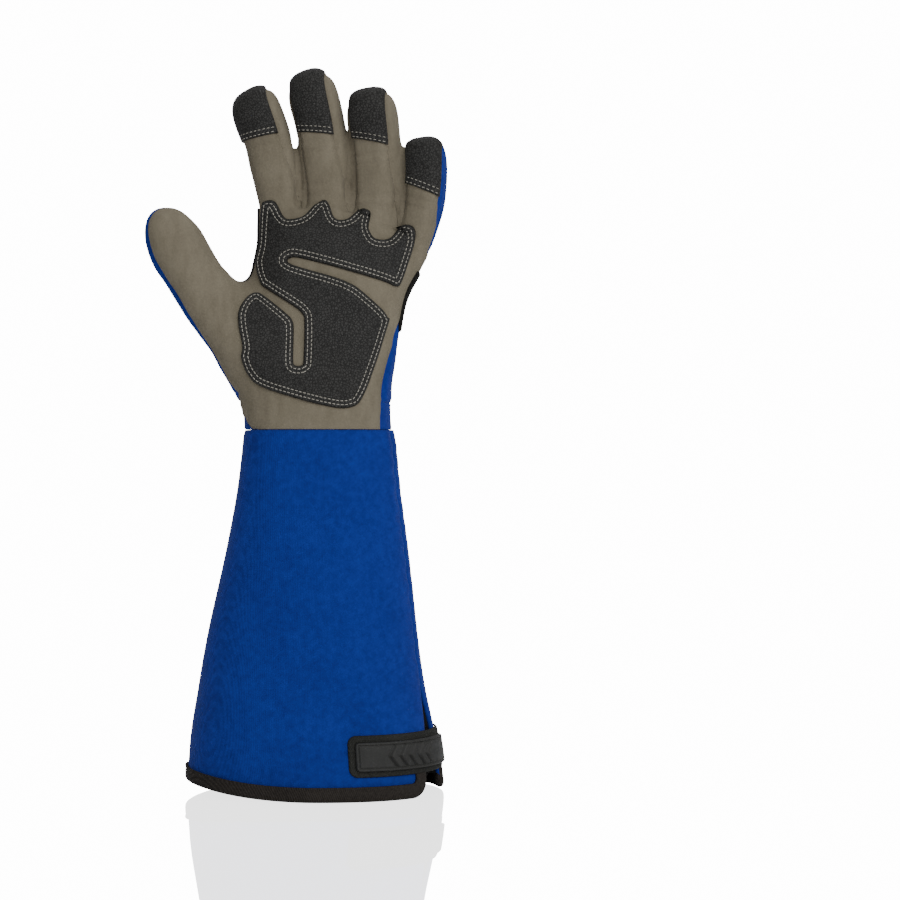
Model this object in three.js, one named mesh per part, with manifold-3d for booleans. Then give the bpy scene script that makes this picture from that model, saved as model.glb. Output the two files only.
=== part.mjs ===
// Rose pruning gauntlet for the left hand, in millimetres.
// Z points up from the mouth of the cuff to the fingertips, the palm faces -Y and the thumb is on the -X side.
// The origin is the centre of the cuff's mouth, where the forearm goes in.
import * as THREE from "three";
import { mergeVertices } from "three/addons/utils/BufferGeometryUtils.js";
import Module from "manifold-3d";

const wasm = await Module();
wasm.setup();

// Cuff. The vent is the slit on the little finger's side. VENT_ANGLE and STRAP_END_ANGLE are angles round the
// cuff from its little finger's side, in radians, below zero on the palm's side. VENT_END is the share of the
// vent's height where its cutter stops, a little short of the point. CHEVRON_LEVEL is how far a groove runs up
// and down, as a share of the tab's half height.
const CUFF_LENGTH = 205.4;
const CUFF_MOUTH_WIDTH = 146;
const CUFF_MOUTH_DEPTH = 100;
const HEM_LIFT = 6;
const VENT_HEIGHT = 62;
const VENT_WIDTH = 26;
const VENT_ANGLE = -0.31;
const VENT_END = 0.98;
const BINDING_HEIGHT = 7;
const BINDING_THICKNESS = 1.2;
const GUSSET_THICKNESS = 1.4;
const GUSSET_OVERLAP = 7;
const GUSSET_FOLD_DEPTH = 5;
const GUSSET_FOLDS = 3;
const GUSSET_SECTIONS = 5;
const STRAP_HEIGHT = 23;
const STRAP_ABOVE_HEM = 12;
const STRAP_LENGTH = 88;
const STRAP_THICKNESS = 1.5;
const STRAP_CORNER = 5;
const STRAP_END_ANGLE = 0.16;
const TAB_MARGIN = 3.4;
const TAB_LENGTH = 70;
const TAB_THICKNESS = 2;
const CHEVRONS = 5;
const CHEVRON_START = 18;
const CHEVRON_PITCH = 6.4;
const CHEVRON_REACH = 5.5;
const CHEVRON_LEVEL = 1.1;
const GROOVE_WIDTH = 1.8;
const GROOVE_DEPTH = 1.2;

// Hand. The knuckles drop towards the little finger from DROP_START over DROP_SPAN, in shares of KNUCKLE_WIDTH.
const WRIST_DEPTH = 60;
const WRIST_BAND_HEIGHT = 15;
const GATHER_DEPTH = 1.5;
const PALM_LENGTH = 130;
const KNUCKLE_WIDTH = 105;
const PALM_DEPTH = 50;
const KNUCKLE_DROP = 22;
const DROP_START = 0.1;
const DROP_SPAN = 0.55;
const DROP_POWER = 1.15;

// Cloth and leather
const WALL = 2;
const PAD_THICKNESS = 2;
const PATCH_THICKNESS = 1.2;
const CAP_THICKNESS = 1.2;
const GAP = 0.3;

// Each finger is a tube along a curve from its root, through a bend, to its tip. Root, bend and tip are
// {x, y, z}: x and y from the hand's axis, z from the wrist seam. turn is how far its front faces the thumb, in
// radians. cap is how far its black cap reaches down from the tip, and capSlope the slope of the cap's edge.
// outerFront is the share of the half width that the front takes on the hand's outer side.
const FINGERS = {
  index: {
    width: 27, depth: 25.5, rootShare: 0.82, turn: 0.3, cap: 28, capSlope: 0.19,
    root: { x: -19.5, y: 0, z: 104 }, bend: { x: -19, y: 2, z: 158 }, tip: { x: -38, y: -13, z: 192 },
  },
  middle: {
    width: 28.2, depth: 26, rootShare: 0.9, turn: 0.32, cap: 34.5, capSlope: -0.11,
    root: { x: 3, y: 0, z: 104 }, bend: { x: 11.5, y: 3, z: 155 }, tip: { x: -5, y: -15, z: 202.5 },
  },
  ring: {
    width: 28.6, depth: 25.5, rootShare: 0.88, turn: 0.34, cap: 29.5, capSlope: -0.22,
    root: { x: 29, y: 0, z: 100 }, bend: { x: 40.5, y: 2, z: 150 }, tip: { x: 29.5, y: -16, z: 192.5 },
  },
  little: {
    width: 24.8, depth: 23.5, rootShare: 0.8, turn: 0.3, cap: 29.5, capSlope: -0.42, outerFront: 0.9,
    root: { x: 42, y: 0, z: 82 }, bend: { x: 69.5, y: 0, z: 124 }, tip: { x: 60.5, y: -14, z: 165 },
  },
};
const THUMB = {
  width: 32.5, depth: 29, rootShare: 1.25, turn: -0.35,
  root: { x: -25, y: -3, z: 38 }, bend: { x: -71.5, y: -11, z: 79 }, tip: { x: -88, y: -15, z: 125.5 },
};

// A finger's sections up to its last joint. along is a share of its length, swell says how far its width has
// come from the root's to its own, turn is the share of its turn towards the thumb.
const FINGER_ROWS = [
  { along: 0, swell: 0, turn: 0 },
  { along: 0.25, swell: 0.15, turn: 0.3 },
  { along: 0.5, swell: 0.85, turn: 0.85 },
];
// The rounded end of a finger, and the thumb's, which is more pointed. back is the way back from the tip as a
// share of the finger's width, size is a share of its width and depth, side and lift are how a wall's thickness
// splits between sideways and along the finger.
const TIP_ROWS = [
  { back: 0.7, size: 1, side: 1, lift: 0 },
  { back: 0.34, size: 0.94, side: 0.95, lift: 0.3 },
  { back: 0.1, size: 0.73, side: 0.7, lift: 0.75 },
  { back: 0, size: 0.42, side: 0.3, lift: 1 },
];
const THUMB_TIP_ROWS = [
  { back: 0.9, size: 1, side: 1, lift: 0 },
  { back: 0.45, size: 0.87, side: 0.9, lift: 0.3 },
  { back: 0.14, size: 0.59, side: 0.65, lift: 0.75 },
  { back: 0, size: 0.3, side: 0.3, lift: 1 },
];
// A finger's own sections end this far, in shares of its length, before its rounded end starts.
const TIP_SPACING = 0.05;

// The cuff's sections. up is a share of its length. The rest say how far it has flared from the wrist (0) to
// the mouth (1) on the thumb's side, the little finger's side and in depth.
const CUFF_ROWS = [
  { up: 0, thumb: 1, little: 1, depth: 1 },
  { up: 0.14, thumb: 0.96, little: 0.88, depth: 0.92 },
  { up: 0.28, thumb: 0.81, little: 0.68, depth: 0.75 },
  { up: 0.42, thumb: 0.635, little: 0.5, depth: 0.58 },
  { up: 0.56, thumb: 0.46, little: 0.38, depth: 0.43 },
  { up: 0.7, thumb: 0.29, little: 0.25, depth: 0.28 },
  { up: 0.84, thumb: 0.125, little: 0.13, depth: 0.13 },
  { up: 1, thumb: 0, little: 0, depth: 0 },
];

// The hand's sections. up is a share of PALM_LENGTH, thumb and little are shares of KNUCKLE_WIDTH, palm and
// back are shares of PALM_DEPTH. arch is how far the section follows the drop of the knuckles, gather is a
// share of GATHER_DEPTH.
const HAND_ROWS = [
  { up: 0, thumb: 0.386, little: 0.428, palm: 0.58, back: 0.58, arch: 0, gather: 0.8 },
  { up: 0.08, thumb: 0.397, little: 0.42, palm: 0.575, back: 0.555, arch: 0, gather: 1 },
  { up: 0.19, thumb: 0.435, little: 0.421, palm: 0.56, back: 0.53, arch: 0, gather: 0.7 },
  { up: 0.3, thumb: 0.475, little: 0.44, palm: 0.54, back: 0.5, arch: 0, gather: 0.2 },
  { up: 0.42, thumb: 0.48, little: 0.458, palm: 0.52, back: 0.48, arch: 0.1, gather: 0 },
  { up: 0.55, thumb: 0.412, little: 0.478, palm: 0.49, back: 0.46, arch: 0.24, gather: 0 },
  { up: 0.68, thumb: 0.34, little: 0.503, palm: 0.465, back: 0.445, arch: 0.44, gather: 0 },
  { up: 0.81, thumb: 0.297, little: 0.56, palm: 0.42, back: 0.41, arch: 0.7, gather: 0 },
  { up: 0.91, thumb: 0.272, little: 0.585, palm: 0.34, back: 0.34, arch: 0.9, gather: 0 },
  { up: 0.965, thumb: 0.255, little: 0.565, palm: 0.23, back: 0.23, arch: 0.98, gather: 0 },
  { up: 0.985, thumb: 0.24, little: 0.54, palm: 0.13, back: 0.13, arch: 1, gather: 0 },
];
// The palm panel's edges on the thumb's and the little finger's side, at the same heights and in shares alike.
// rear is how far in front of the hand's middle it ends at its edge on the little finger's side, as a share of
// PALM_DEPTH.
const SEAM_ROWS = [
  { up: 0, thumb: 0.5, little: 0.36, rear: 0.21 },
  { up: 0.08, thumb: 0.45, little: 0.36, rear: 0.21 },
  { up: 0.19, thumb: 0.42, little: 0.37, rear: 0.21 },
  { up: 0.3, thumb: 0.45, little: 0.4, rear: 0.21 },
  { up: 0.42, thumb: 0.46, little: 0.455, rear: 0.21 },
  { up: 0.55, thumb: 0.6, little: 0.51, rear: 0.06 },
  { up: 0.68, thumb: 0.6, little: 0.56, rear: 0.02 },
  { up: 0.81, thumb: 0.6, little: 0.62, rear: 0 },
  { up: 0.91, thumb: 0.6, little: 0.63, rear: 0 },
  { up: 0.965, thumb: 0.6, little: 0.6, rear: 0 },
  { up: 0.985, thumb: 0.6, little: 0.57, rear: 0 },
];
// The palm's cutter starts below and ends above the hand's rows, at these shares of PALM_LENGTH.
const CUTTER_BELOW = -0.1;
const CUTTER_ABOVE = 1.05;
const FINGER_ROOM = 0.21;
const THENAR_INSET = 0.12;

// Where the blocks that cut the skins to their outlines end, from front to back of the hand. FORK_SLANT is how
// much deeper the fork patch starts for each millimetre away from the thumb.
const PAD_END_DEPTH = -2;
const FORK_START_DEPTH = 5.4;
const FORK_SLANT = 0.2;
const BAND_START_DEPTH = -8;

// How far cutters reach past a finger's front and open side and below the wrist, past its inner sides, and past
// its tip, and how far two that are joined run into each other.
const CUTTER_MARGIN = 6;
const SIDE_MARGIN = 4;
const CUTTER_RISE = 12;
const OVERLAP = 1;

// How round a section is: 2 is an ellipse, more is boxier.
const CUFF_POWER = 2.15;
const HAND_POWER = 2.5;
const FINGER_POWER = 2.35;

// Facets: a ring's back half has four to a gather, its palm half fewer. The inner side of the walls has fewer.
const GATHERS = 7;
const BACK_FACETS = 4 * GATHERS;
const PALM_FACETS = 10;
const CUFF_FACETS = 24;
const FINGER_FACETS = 12;
const LINING_BACK_FACETS = 10;
const LINING_PALM_FACETS = 6;
const LINING_FINGER_FACETS = 8;

// Outlines seen from the palm, in shares: across of KNUCKLE_WIDTH from the hand's axis, up of PALM_LENGTH
// from the wrist seam. The palm pad has four rounded peaks under the fingers and two slots.
const PAD_OUTLINE = [
  [-0.269, 0.998], [-0.215, 0.993], [-0.171, 0.93], [-0.135, 0.911], [-0.063, 0.927], [0.009, 0.984],
  [0.064, 0.996], [0.108, 0.913], [0.173, 0.913], [0.241, 0.96], [0.276, 0.962], [0.301, 0.943],
  [0.288, 0.882], [0.296, 0.851], [0.325, 0.825], [0.398, 0.828], [0.462, 0.885], [0.503, 0.893],
  [0.536, 0.877], [0.543, 0.842], [0.523, 0.775], [0.463, 0.645], [0.433, 0.622], [0.337, 0.648],
  [-0.046, 0.734], [-0.13, 0.741], [-0.124, 0.713], [0.104, 0.657], [0.172, 0.636], [0.237, 0.606],
  [0.351, 0.524], [0.385, 0.488], [0.388, 0.451], [0.267, 0.163], [0.186, 0.093], [0.022, 0.106],
  [-0.267, 0.177], [-0.355, 0.234], [-0.393, 0.309], [-0.387, 0.354], [-0.408, 0.443], [-0.411, 0.501],
  [-0.389, 0.547], [-0.354, 0.579], [-0.315, 0.592], [-0.275, 0.579], [-0.155, 0.5], [-0.121, 0.468],
  [-0.113, 0.428], [-0.116, 0.296], [-0.105, 0.274], [-0.071, 0.275], [-0.062, 0.298], [-0.057, 0.461],
  [-0.072, 0.501], [-0.121, 0.534], [-0.255, 0.606], [-0.293, 0.637], [-0.314, 0.726], [-0.296, 0.815],
  [-0.286, 0.973],
];
// The patch over the fork of thumb and index finger, on the back of the hand.
const FORK_OUTLINE = [
  [-0.4, 0.975], [-0.262, 0.97], [-0.215, 0.92], [-0.205, 0.84], [-0.25, 0.74], [-0.345, 0.59],
  [-0.455, 0.47], [-0.54, 0.45], [-0.62, 0.53], [-0.72, 0.68], [-0.76, 0.78], [-0.735, 0.85],
  [-0.66, 0.86], [-0.6, 0.84], [-0.5, 0.95],
];
// The band across the back of the knuckles, from the little finger's side to the thumb's seam.
const BAND_OUTLINE = [
  [0.8, 0.62], [0.52, 0.705], [0.18, 0.79], [-0.12, 0.86], [-0.33, 0.89], [-0.42, 0.64], [-0.35, 0.605],
  [-0.05, 0.55], [0.25, 0.485], [0.48, 0.425], [0.8, 0.36],
];
// The patch on the back of the index finger: its lower and upper end are in mm below the fingertip, its inner
// and outer edge in shares of the finger's half width.
const INDEX_PATCH = { below: 50, above: 20, inner: -0.22, outer: 0.74 };
// The seam between the back panel and the thumb's back, from the wrist up to the fork.
const THUMB_SEAM = [
  [-0.3, -0.1], [-0.315, 0.12], [-0.35, 0.28], [-0.42, 0.42], [-0.44, 0.52], [-0.42, 0.68], [-0.5, 1.2],
];

// Shares of a finger's half width and half depth: its front, which widens from FRONT_TAPER of its length down to
// the root, the strip at its side, the thumb's seam.
const FINGER_FRONT_SHARE = 0.75;
const ROOT_FRONT_SHARE = 1;
const FRONT_TAPER = 0.5;
const SIDE_STRIP_SHARE = 0.76;
const THUMB_SEAM_SHARE = -0.1;

// Points on a smooth outline for each corner, how near points are made one in mm, and places past the whole
// glove: in mm, and across in shares of KNUCKLE_WIDTH.
const CURVE_DETAIL = 1.3;
const MERGE = 1e-3;
const LARGE = 60;
const PAST_HAND = 1.4;

const COLOURS = {
  blue: { color: 0x14458f, roughness: 0.9, metalness: 0 },
  grey: { color: 0x77705f, roughness: 0.85, metalness: 0 },
  black: { color: 0x2c2c2b, roughness: 0.7, metalness: 0 },
  rubber: { color: 0x333433, roughness: 0.5, metalness: 0 },
};

function mix(a, b, share) {
  return a + (b - a) * share;
}

// Reads a table at a place between its rows, by straight lines.
function readTable(rows, key, place) {
  const last = rows.length - 1;
  if (place <= rows[0][key]) {
    return rows[0];
  }
  if (place >= rows[last][key]) {
    return rows[last];
  }
  const upper = rows.findIndex((row) => row[key] > place);
  const low = rows[upper - 1];
  const high = rows[upper];
  const share = (place - low[key]) / (high[key] - low[key]);
  return Object.fromEntries(Object.keys(low).map((name) => [name, mix(low[name], high[name], share)]));
}

// The two coordinates of a rounded section at an angle, each between -1 and 1.
function roundedUnit(angle, power) {
  const c = Math.cos(angle);
  const s = Math.sin(angle);
  return [
    Math.sign(c) * Math.abs(c) ** (2 / power),
    Math.sign(s) * Math.abs(s) ** (2 / power),
  ];
}

// The triangles of a flat ring of points, which may be hollowed like a U.
function capFaces(ring) {
  const normal = new THREE.Vector3();
  ring.forEach((point, i) => normal.add(new THREE.Vector3().crossVectors(point, ring[(i + 1) % ring.length])));
  const turn = new THREE.Quaternion().setFromUnitVectors(normal.normalize(), new THREE.Vector3(0, 0, 1));
  const flat = ring.map((point) => point.clone().applyQuaternion(turn));
  return THREE.ShapeUtils.triangulateShape(flat.map((point) => new THREE.Vector2(point.x, point.y)), []);
}

// A closed solid through rings of points. Its faces are turned outwards, whichever way the rings run.
function loftGeometry(rings) {
  const sides = rings[0].length;
  const points = rings.flat();
  const faces = [];
  for (let ring = 0; ring < rings.length - 1; ring += 1) {
    for (let side = 0; side < sides; side += 1) {
      const a = ring * sides + side;
      const b = ring * sides + (side + 1) % sides;
      faces.push([a, b, b + sides], [a, b + sides, a + sides]);
    }
  }
  const top = (rings.length - 1) * sides;
  capFaces(rings[0]).forEach(([a, b, c]) => faces.push([c, b, a]));
  capFaces(rings[rings.length - 1]).forEach(([a, b, c]) => faces.push([a + top, b + top, c + top]));
  const volume = faces.reduce((sum, [a, b, c]) => sum
    + points[a].dot(new THREE.Vector3().crossVectors(points[b], points[c])), 0);
  const outward = volume < 0 ? faces.map(([a, b, c]) => [c, b, a]) : faces;
  const geometry = new THREE.BufferGeometry();
  const numbers = points.flatMap((point) => [point.x, point.y, point.z]);
  geometry.setAttribute("position", new THREE.Float32BufferAttribute(numbers, 3));
  geometry.setIndex(outward.flat());
  return geometry;
}

function toSolid(geometry) {
  const bare = geometry.clone();
  bare.deleteAttribute("normal");
  bare.deleteAttribute("uv");
  const merged = mergeVertices(bare, MERGE);
  return new wasm.Manifold(new wasm.Mesh({
    numProp: 3,
    vertProperties: new Float32Array(merged.attributes.position.array),
    triVerts: new Uint32Array(merged.index.array),
  }));
}

function toGeometry(solid) {
  const mesh = solid.getMesh();
  const geometry = new THREE.BufferGeometry();
  geometry.setAttribute("position", new THREE.Float32BufferAttribute(mesh.vertProperties, 3));
  geometry.setIndex([...mesh.triVerts]);
  return geometry;
}

function loft(rings) {
  return toSolid(loftGeometry(rings));
}

function join(solids) {
  return solids.reduce((sum, solid) => sum.add(solid));
}

// The cuff's section at a height, grown by an offset.
function cuffPoint(z, angle, offset) {
  const row = readTable(CUFF_ROWS, "up", z / CUFF_LENGTH);
  const wrist = HAND_ROWS[0];
  const thumb = mix(wrist.thumb * KNUCKLE_WIDTH, CUFF_MOUTH_WIDTH / 2, row.thumb);
  const little = mix(wrist.little * KNUCKLE_WIDTH, CUFF_MOUTH_WIDTH / 2, row.little);
  const depth = mix(WRIST_DEPTH, CUFF_MOUTH_DEPTH, row.depth) / 2;
  const [c, s] = roundedUnit(angle, mix(HAND_POWER, CUFF_POWER, Math.min(1, 2 * row.depth)));
  const half = (thumb + little) / 2 + offset;
  const x = (little - thumb) / 2 + c * half;
  const lift = HEM_LIFT * Math.max(0, -c) ** 2 * (1 - Math.min(1, z / CUFF_LENGTH));
  return new THREE.Vector3(x, s * (depth + offset), z + lift);
}

// The angles of a ring's points: evenly round the back (0 to pi), and evenly round the palm.
function ringAngles(backFacets, palmFacets) {
  const angles = [];
  for (let i = 0; i < backFacets; i += 1) {
    angles.push(Math.PI * i / backFacets);
  }
  for (let i = 0; i < palmFacets; i += 1) {
    angles.push(Math.PI + Math.PI * i / palmFacets);
  }
  return angles;
}

// The drop of the knuckles towards the little finger, by how much of it the hand's section has.
function knuckleDrop(x, arch) {
  const reach = Math.max(0, x / KNUCKLE_WIDTH - DROP_START) / DROP_SPAN;
  return KNUCKLE_DROP * arch * reach ** DROP_POWER;
}

// The hand's section at a row, grown by an offset, with the gathers on the back of the wrist.
function handPoint(row, angle, offset) {
  const thumb = row.thumb * KNUCKLE_WIDTH;
  const little = row.little * KNUCKLE_WIDTH;
  const atWrist = row.up === 0 ? 1 : 0;
  const palm = mix(row.palm * PALM_DEPTH, WRIST_DEPTH / 2, atWrist);
  const back = mix(row.back * PALM_DEPTH, WRIST_DEPTH / 2, atWrist);
  const [c, s] = roundedUnit(angle, HAND_POWER);
  const onBack = angle < Math.PI ? Math.sin(angle) ** 0.5 : 0;
  const gather = GATHER_DEPTH * row.gather * onBack * (1 - Math.cos(2 * GATHERS * angle)) / 2;
  const grown = offset + (offset < 0 ? 0 : gather);
  const x = (little - thumb) / 2 + c * ((thumb + little) / 2 + grown);
  const y = s * ((s < 0 ? palm : back) + grown);
  return new THREE.Vector3(x, y, CUFF_LENGTH + GAP + row.up * PALM_LENGTH - knuckleDrop(x, row.arch));
}

// The hand without its fingers, grown by an offset. Its top closes by the offset above the last row.
function handSolid(offset, belowWrist) {
  const angles = offset < 0
    ? ringAngles(LINING_BACK_FACETS, LINING_PALM_FACETS) : ringAngles(BACK_FACETS, PALM_FACETS);
  const ringAt = (row, rise) => angles.map((angle) => {
    const point = handPoint(row, angle, offset);
    point.z += rise;
    return point;
  });
  const last = HAND_ROWS.length - 1;
  const rings = HAND_ROWS.map((row, i) => ringAt(row, offset * Math.max(0, (i - last + 2) / 2)));
  if (belowWrist > 0) {
    rings.unshift(ringAt(HAND_ROWS[0], -belowWrist));
  }
  return loft(rings);
}

// The frame of a finger at a share of its length: its centre, its axis, and its side and front, turned.
function fingerFrame(finger, along, turn) {
  const wrist = CUFF_LENGTH + GAP;
  const [p, q, r] = [finger.root, finger.bend, finger.tip].map((v) => new THREE.Vector3(v.x, v.y, wrist + v.z));
  const curve = new THREE.QuadraticBezierCurve3(p, q, r);
  const t = Math.min(1, along);
  const centre = curve.getPoint(t);
  const axis = curve.getTangent(t);
  const side = new THREE.Vector3().crossVectors(axis, new THREE.Vector3(0, -1, 0)).normalize();
  const front = new THREE.Vector3().crossVectors(side, axis).normalize();
  const angle = finger.turn * turn;
  const turnedSide = side.clone().multiplyScalar(Math.cos(angle)).addScaledVector(front, Math.sin(angle));
  const turnedFront = front.clone().multiplyScalar(Math.cos(angle)).addScaledVector(side, -Math.sin(angle));
  return { centre, axis, side: turnedSide, front: turnedFront };
}

// A finger's stations: how far along, its half width and half depth, and how an offset grows it there.
function fingerStations(finger) {
  const chord = new THREE.Vector3(
    finger.tip.x - finger.root.x, finger.tip.y - finger.root.y, finger.tip.z - finger.root.z).length();
  const body = FINGER_ROWS.map((row) => {
    const size = mix(finger.rootShare, 1, row.swell);
    return { along: row.along, turn: row.turn, size, side: 1, lift: 0 };
  });
  const tip = (finger === THUMB ? THUMB_TIP_ROWS : TIP_ROWS).map((row) => ({
    along: 1 - row.back * finger.width / chord, turn: 1, size: row.size, side: row.side, lift: row.lift,
  }));
  return [...body.filter((row) => row.along < tip[0].along - TIP_SPACING), ...tip];
}

// A finger's solid, or a cutter that follows it, rises past its tip and drops below its root. corners gives a
// section's points from its half width, half depth and place along, each point [sideways, towards the back].
function fingerSolid(finger, offset, corners, rise = 0, drop = 0) {
  const all = fingerStations(finger);
  const stations = rise > 0 ? all.filter((row, i) => i !== all.length - 2) : all;
  const rings = stations.map((row) => {
    const frame = fingerFrame(finger, row.along, row.turn);
    const ahead = (offset + rise) * row.lift - (row.along === 0 ? drop : 0);
    const base = frame.centre.clone().addScaledVector(frame.axis, ahead);
    const halfWidth = finger.width / 2 * row.size + offset * row.side;
    const halfDepth = finger.depth / 2 * row.size + offset * row.side;
    return corners(halfWidth, halfDepth, row.along).map(([sideways, back]) => base.clone()
      .addScaledVector(frame.side, sideways).addScaledVector(frame.front, -back));
  });
  return loft(rings);
}

// The rounded section of a finger, with a given number of facets.
function roundCorners(facets) {
  const units = Array.from({ length: facets }, (_, i) => roundedUnit(2 * Math.PI * i / facets, FINGER_POWER));
  return (halfWidth, halfDepth) => units.map(([c, s]) => [c * halfWidth, s * halfDepth]);
}

function boxCorners(x0, x1, y0, y1) {
  return [[x0, y0], [x1, y0], [x1, y1], [x0, y1]];
}

// A flat outline, seen from the palm, made a block that runs from one depth to another. It may be slanted, so
// that both depths grow with the way across.
function outlineBlock(outline, yFrom, yTo, smooth = 0, slant = 0) {
  const points = outline.map(([across, up]) => new THREE.Vector2(
    across * KNUCKLE_WIDTH, CUFF_LENGTH + GAP + up * PALM_LENGTH));
  const shape = new THREE.Shape();
  if (smooth) {
    const curve = new THREE.SplineCurve([...points, points[0]]);
    shape.setFromPoints(curve.getPoints(Math.round(points.length * smooth)));
  } else {
    shape.setFromPoints(points);
  }
  const geometry = new THREE.ExtrudeGeometry(shape, { depth: yTo - yFrom, bevelEnabled: false });
  geometry.rotateX(Math.PI / 2);
  geometry.translate(0, yTo, 0);
  geometry.applyMatrix4(new THREE.Matrix4().makeShear(slant, 0, 0, 0, 0, 0));
  return toSolid(geometry);
}

// A block right across the hand, between two heights in shares of PALM_LENGTH.
function levelBlock(low, high) {
  return outlineBlock([
    [-PAST_HAND, low], [PAST_HAND, low], [PAST_HAND, high], [-PAST_HAND, high],
  ], -LARGE, LARGE);
}

// A thin wall along a seam seen from the palm, which parts two panels by the gap.
function seamWall(line) {
  const left = line.map(([across, up]) => [across - GAP / 2 / KNUCKLE_WIDTH, up]);
  const right = line.map(([across, up]) => [across + GAP / 2 / KNUCKLE_WIDTH, up]).reverse();
  return outlineBlock([...left, ...right], -LARGE, LARGE);
}

// The whole hand, grown by an offset: palm, four fingers and thumb.
function handWithFingers(offset, belowWrist) {
  const section = roundCorners(offset < 0 ? LINING_FINGER_FACETS : FINGER_FACETS);
  const fingers = [...Object.values(FINGERS), THUMB].map((finger) => fingerSolid(finger, offset, section));
  return join([handSolid(offset, belowWrist), ...fingers]);
}

// The palm panel's share of the hand, grown by an offset: what lies on the palm side of its seams.
function palmCutter(grow) {
  const deep = FINGER_ROOM * PALM_DEPTH;
  const inset = THENAR_INSET * KNUCKLE_WIDTH;
  const rows = [
    { ...HAND_ROWS[0], up: CUTTER_BELOW }, ...HAND_ROWS, { ...HAND_ROWS[HAND_ROWS.length - 1], up: CUTTER_ABOVE },
  ];
  const ringOf = (row, corners) => corners.map(([x, y]) => new THREE.Vector3(
    x, y, CUFF_LENGTH + GAP + row.up * PALM_LENGTH - knuckleDrop(x, row.arch)));
  const seams = rows.map((row) => readTable(SEAM_ROWS, "up", row.up));
  const main = loft(rows.map((row, i) => {
    const [left, right] = [-seams[i].thumb * KNUCKLE_WIDTH - grow, seams[i].little * KNUCKLE_WIDTH + grow];
    return ringOf(row, [
      [left, -LARGE], [right, -LARGE], [right, grow - seams[i].rear * PALM_DEPTH], [left, grow - deep],
    ]);
  }));
  const thumbSide = loft(rows.map((row, i) => {
    const edge = -seams[i].thumb * KNUCKLE_WIDTH - grow;
    return ringOf(row, boxCorners(edge, -row.thumb * KNUCKLE_WIDTH + inset + grow, -deep - OVERLAP, grow));
  }));
  return join([main, thumbSide]);
}

// The share of a finger's half width that its front takes at a place along, from the share at its tip.
function frontShare(along, tipShare = FINGER_FRONT_SHARE) {
  return mix(ROOT_FRONT_SHARE, tipShare, Math.min(1, along / FRONT_TAPER));
}

// The front of a finger: between its side seams, or out to the open side where it has no side strip.
function fingerFrontCutter(finger, openThumbSide, grow) {
  return fingerSolid(finger, 0, (halfWidth, halfDepth, along) => boxCorners(
    openThumbSide ? -halfWidth - CUTTER_MARGIN : -frontShare(along) * halfWidth - grow,
    frontShare(along, finger.outerFront) * halfWidth + grow, -halfDepth - CUTTER_MARGIN, grow), CUTTER_RISE, grow);
}

// The side strip of a finger, on the little finger's side (1) or the thumb's side (-1).
function fingerSideCutter(finger, side, grow) {
  return fingerSolid(finger, 0, (halfWidth, halfDepth, along) => {
    const near = frontShare(along) * halfWidth - grow;
    const far = halfWidth + SIDE_MARGIN + grow;
    const deep = SIDE_STRIP_SHARE * halfDepth + grow;
    return boxCorners(side > 0 ? near : -far, side > 0 ? far : -near, -deep, deep);
  }, CUTTER_RISE, grow);
}

// The strip between two neighbouring fingers, from one tip down over the fork and up to the other.
function forkCutter(near, far, grow) {
  return join([fingerSideCutter(near, 1, grow), fingerSideCutter(far, -1, grow)]);
}

// The thumb's front: everything to the palm side of its seams.
function thumbFrontCutter(grow) {
  return fingerSolid(THUMB, 0, (halfWidth, halfDepth) => boxCorners(
    -halfWidth - CUTTER_MARGIN, halfWidth + CUTTER_MARGIN, -halfDepth - CUTTER_MARGIN,
    THUMB_SEAM_SHARE * halfDepth + grow), CUTTER_RISE, grow);
}

// A skin of a given thickness laid over the hand, before it is cut to its outline.
const skinInner = handWithFingers(GAP, 0);
function skin(thickness, block) {
  return handWithFingers(GAP + thickness, 0).intersect(block).subtract(skinInner);
}

const { index, middle, ring, little } = FINGERS;
const shell = handWithFingers(0, 0).subtract(handWithFingers(-WALL, CUTTER_MARGIN));
const forks = {
  fourchette_index_middle: [index, middle],
  fourchette_middle_ring: [middle, ring],
  fourchette_ring_little: [ring, little],
};

function frontCutter(grow) {
  return join([
    palmCutter(grow),
    fingerFrontCutter(index, true, grow),
    fingerFrontCutter(middle, false, grow),
    fingerFrontCutter(ring, false, grow),
    fingerFrontCutter(little, false, grow),
    thumbFrontCutter(grow),
  ]);
}

const allForks = join(Object.values(forks).map(([near, far]) => forkCutter(near, far, GAP)));
const palmPanel = shell.intersect(frontCutter(0)).subtract(allForks);
const backHalf = shell.subtract(frontCutter(GAP)).subtract(allForks);
const [seamLow, seamHigh] = [THUMB_SEAM[0][1], THUMB_SEAM[THUMB_SEAM.length - 1][1]];
const thumbArea = outlineBlock(
  [...THUMB_SEAM, [-PAST_HAND, seamHigh], [-PAST_HAND, seamLow]].reverse(), -LARGE, LARGE);
const bandArea = levelBlock(CUTTER_BELOW, WRIST_BAND_HEIGHT / PALM_LENGTH);
const bandAreaAndGap = bandArea.translate([0, 0, GAP]);
const wristBand = backHalf.intersect(bandArea);
const upperBack = backHalf.subtract(bandAreaAndGap).subtract(bandArea).subtract(seamWall(THUMB_SEAM));

const group = new THREE.Group();

function addPiece(name, geometry, finish) {
  const mesh = new THREE.Mesh(geometry, new THREE.MeshStandardMaterial(COLOURS[finish]));
  mesh.name = name;
  group.add(mesh);
}

// The largest body of a solid, with points that coincide made one: slivers that a cut leaves are dropped.
function mainBody(solid) {
  const bodies = toSolid(toGeometry(solid)).decompose();
  return bodies.reduce((best, body) => (body.volume() > best.volume() ? body : best));
}

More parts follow.
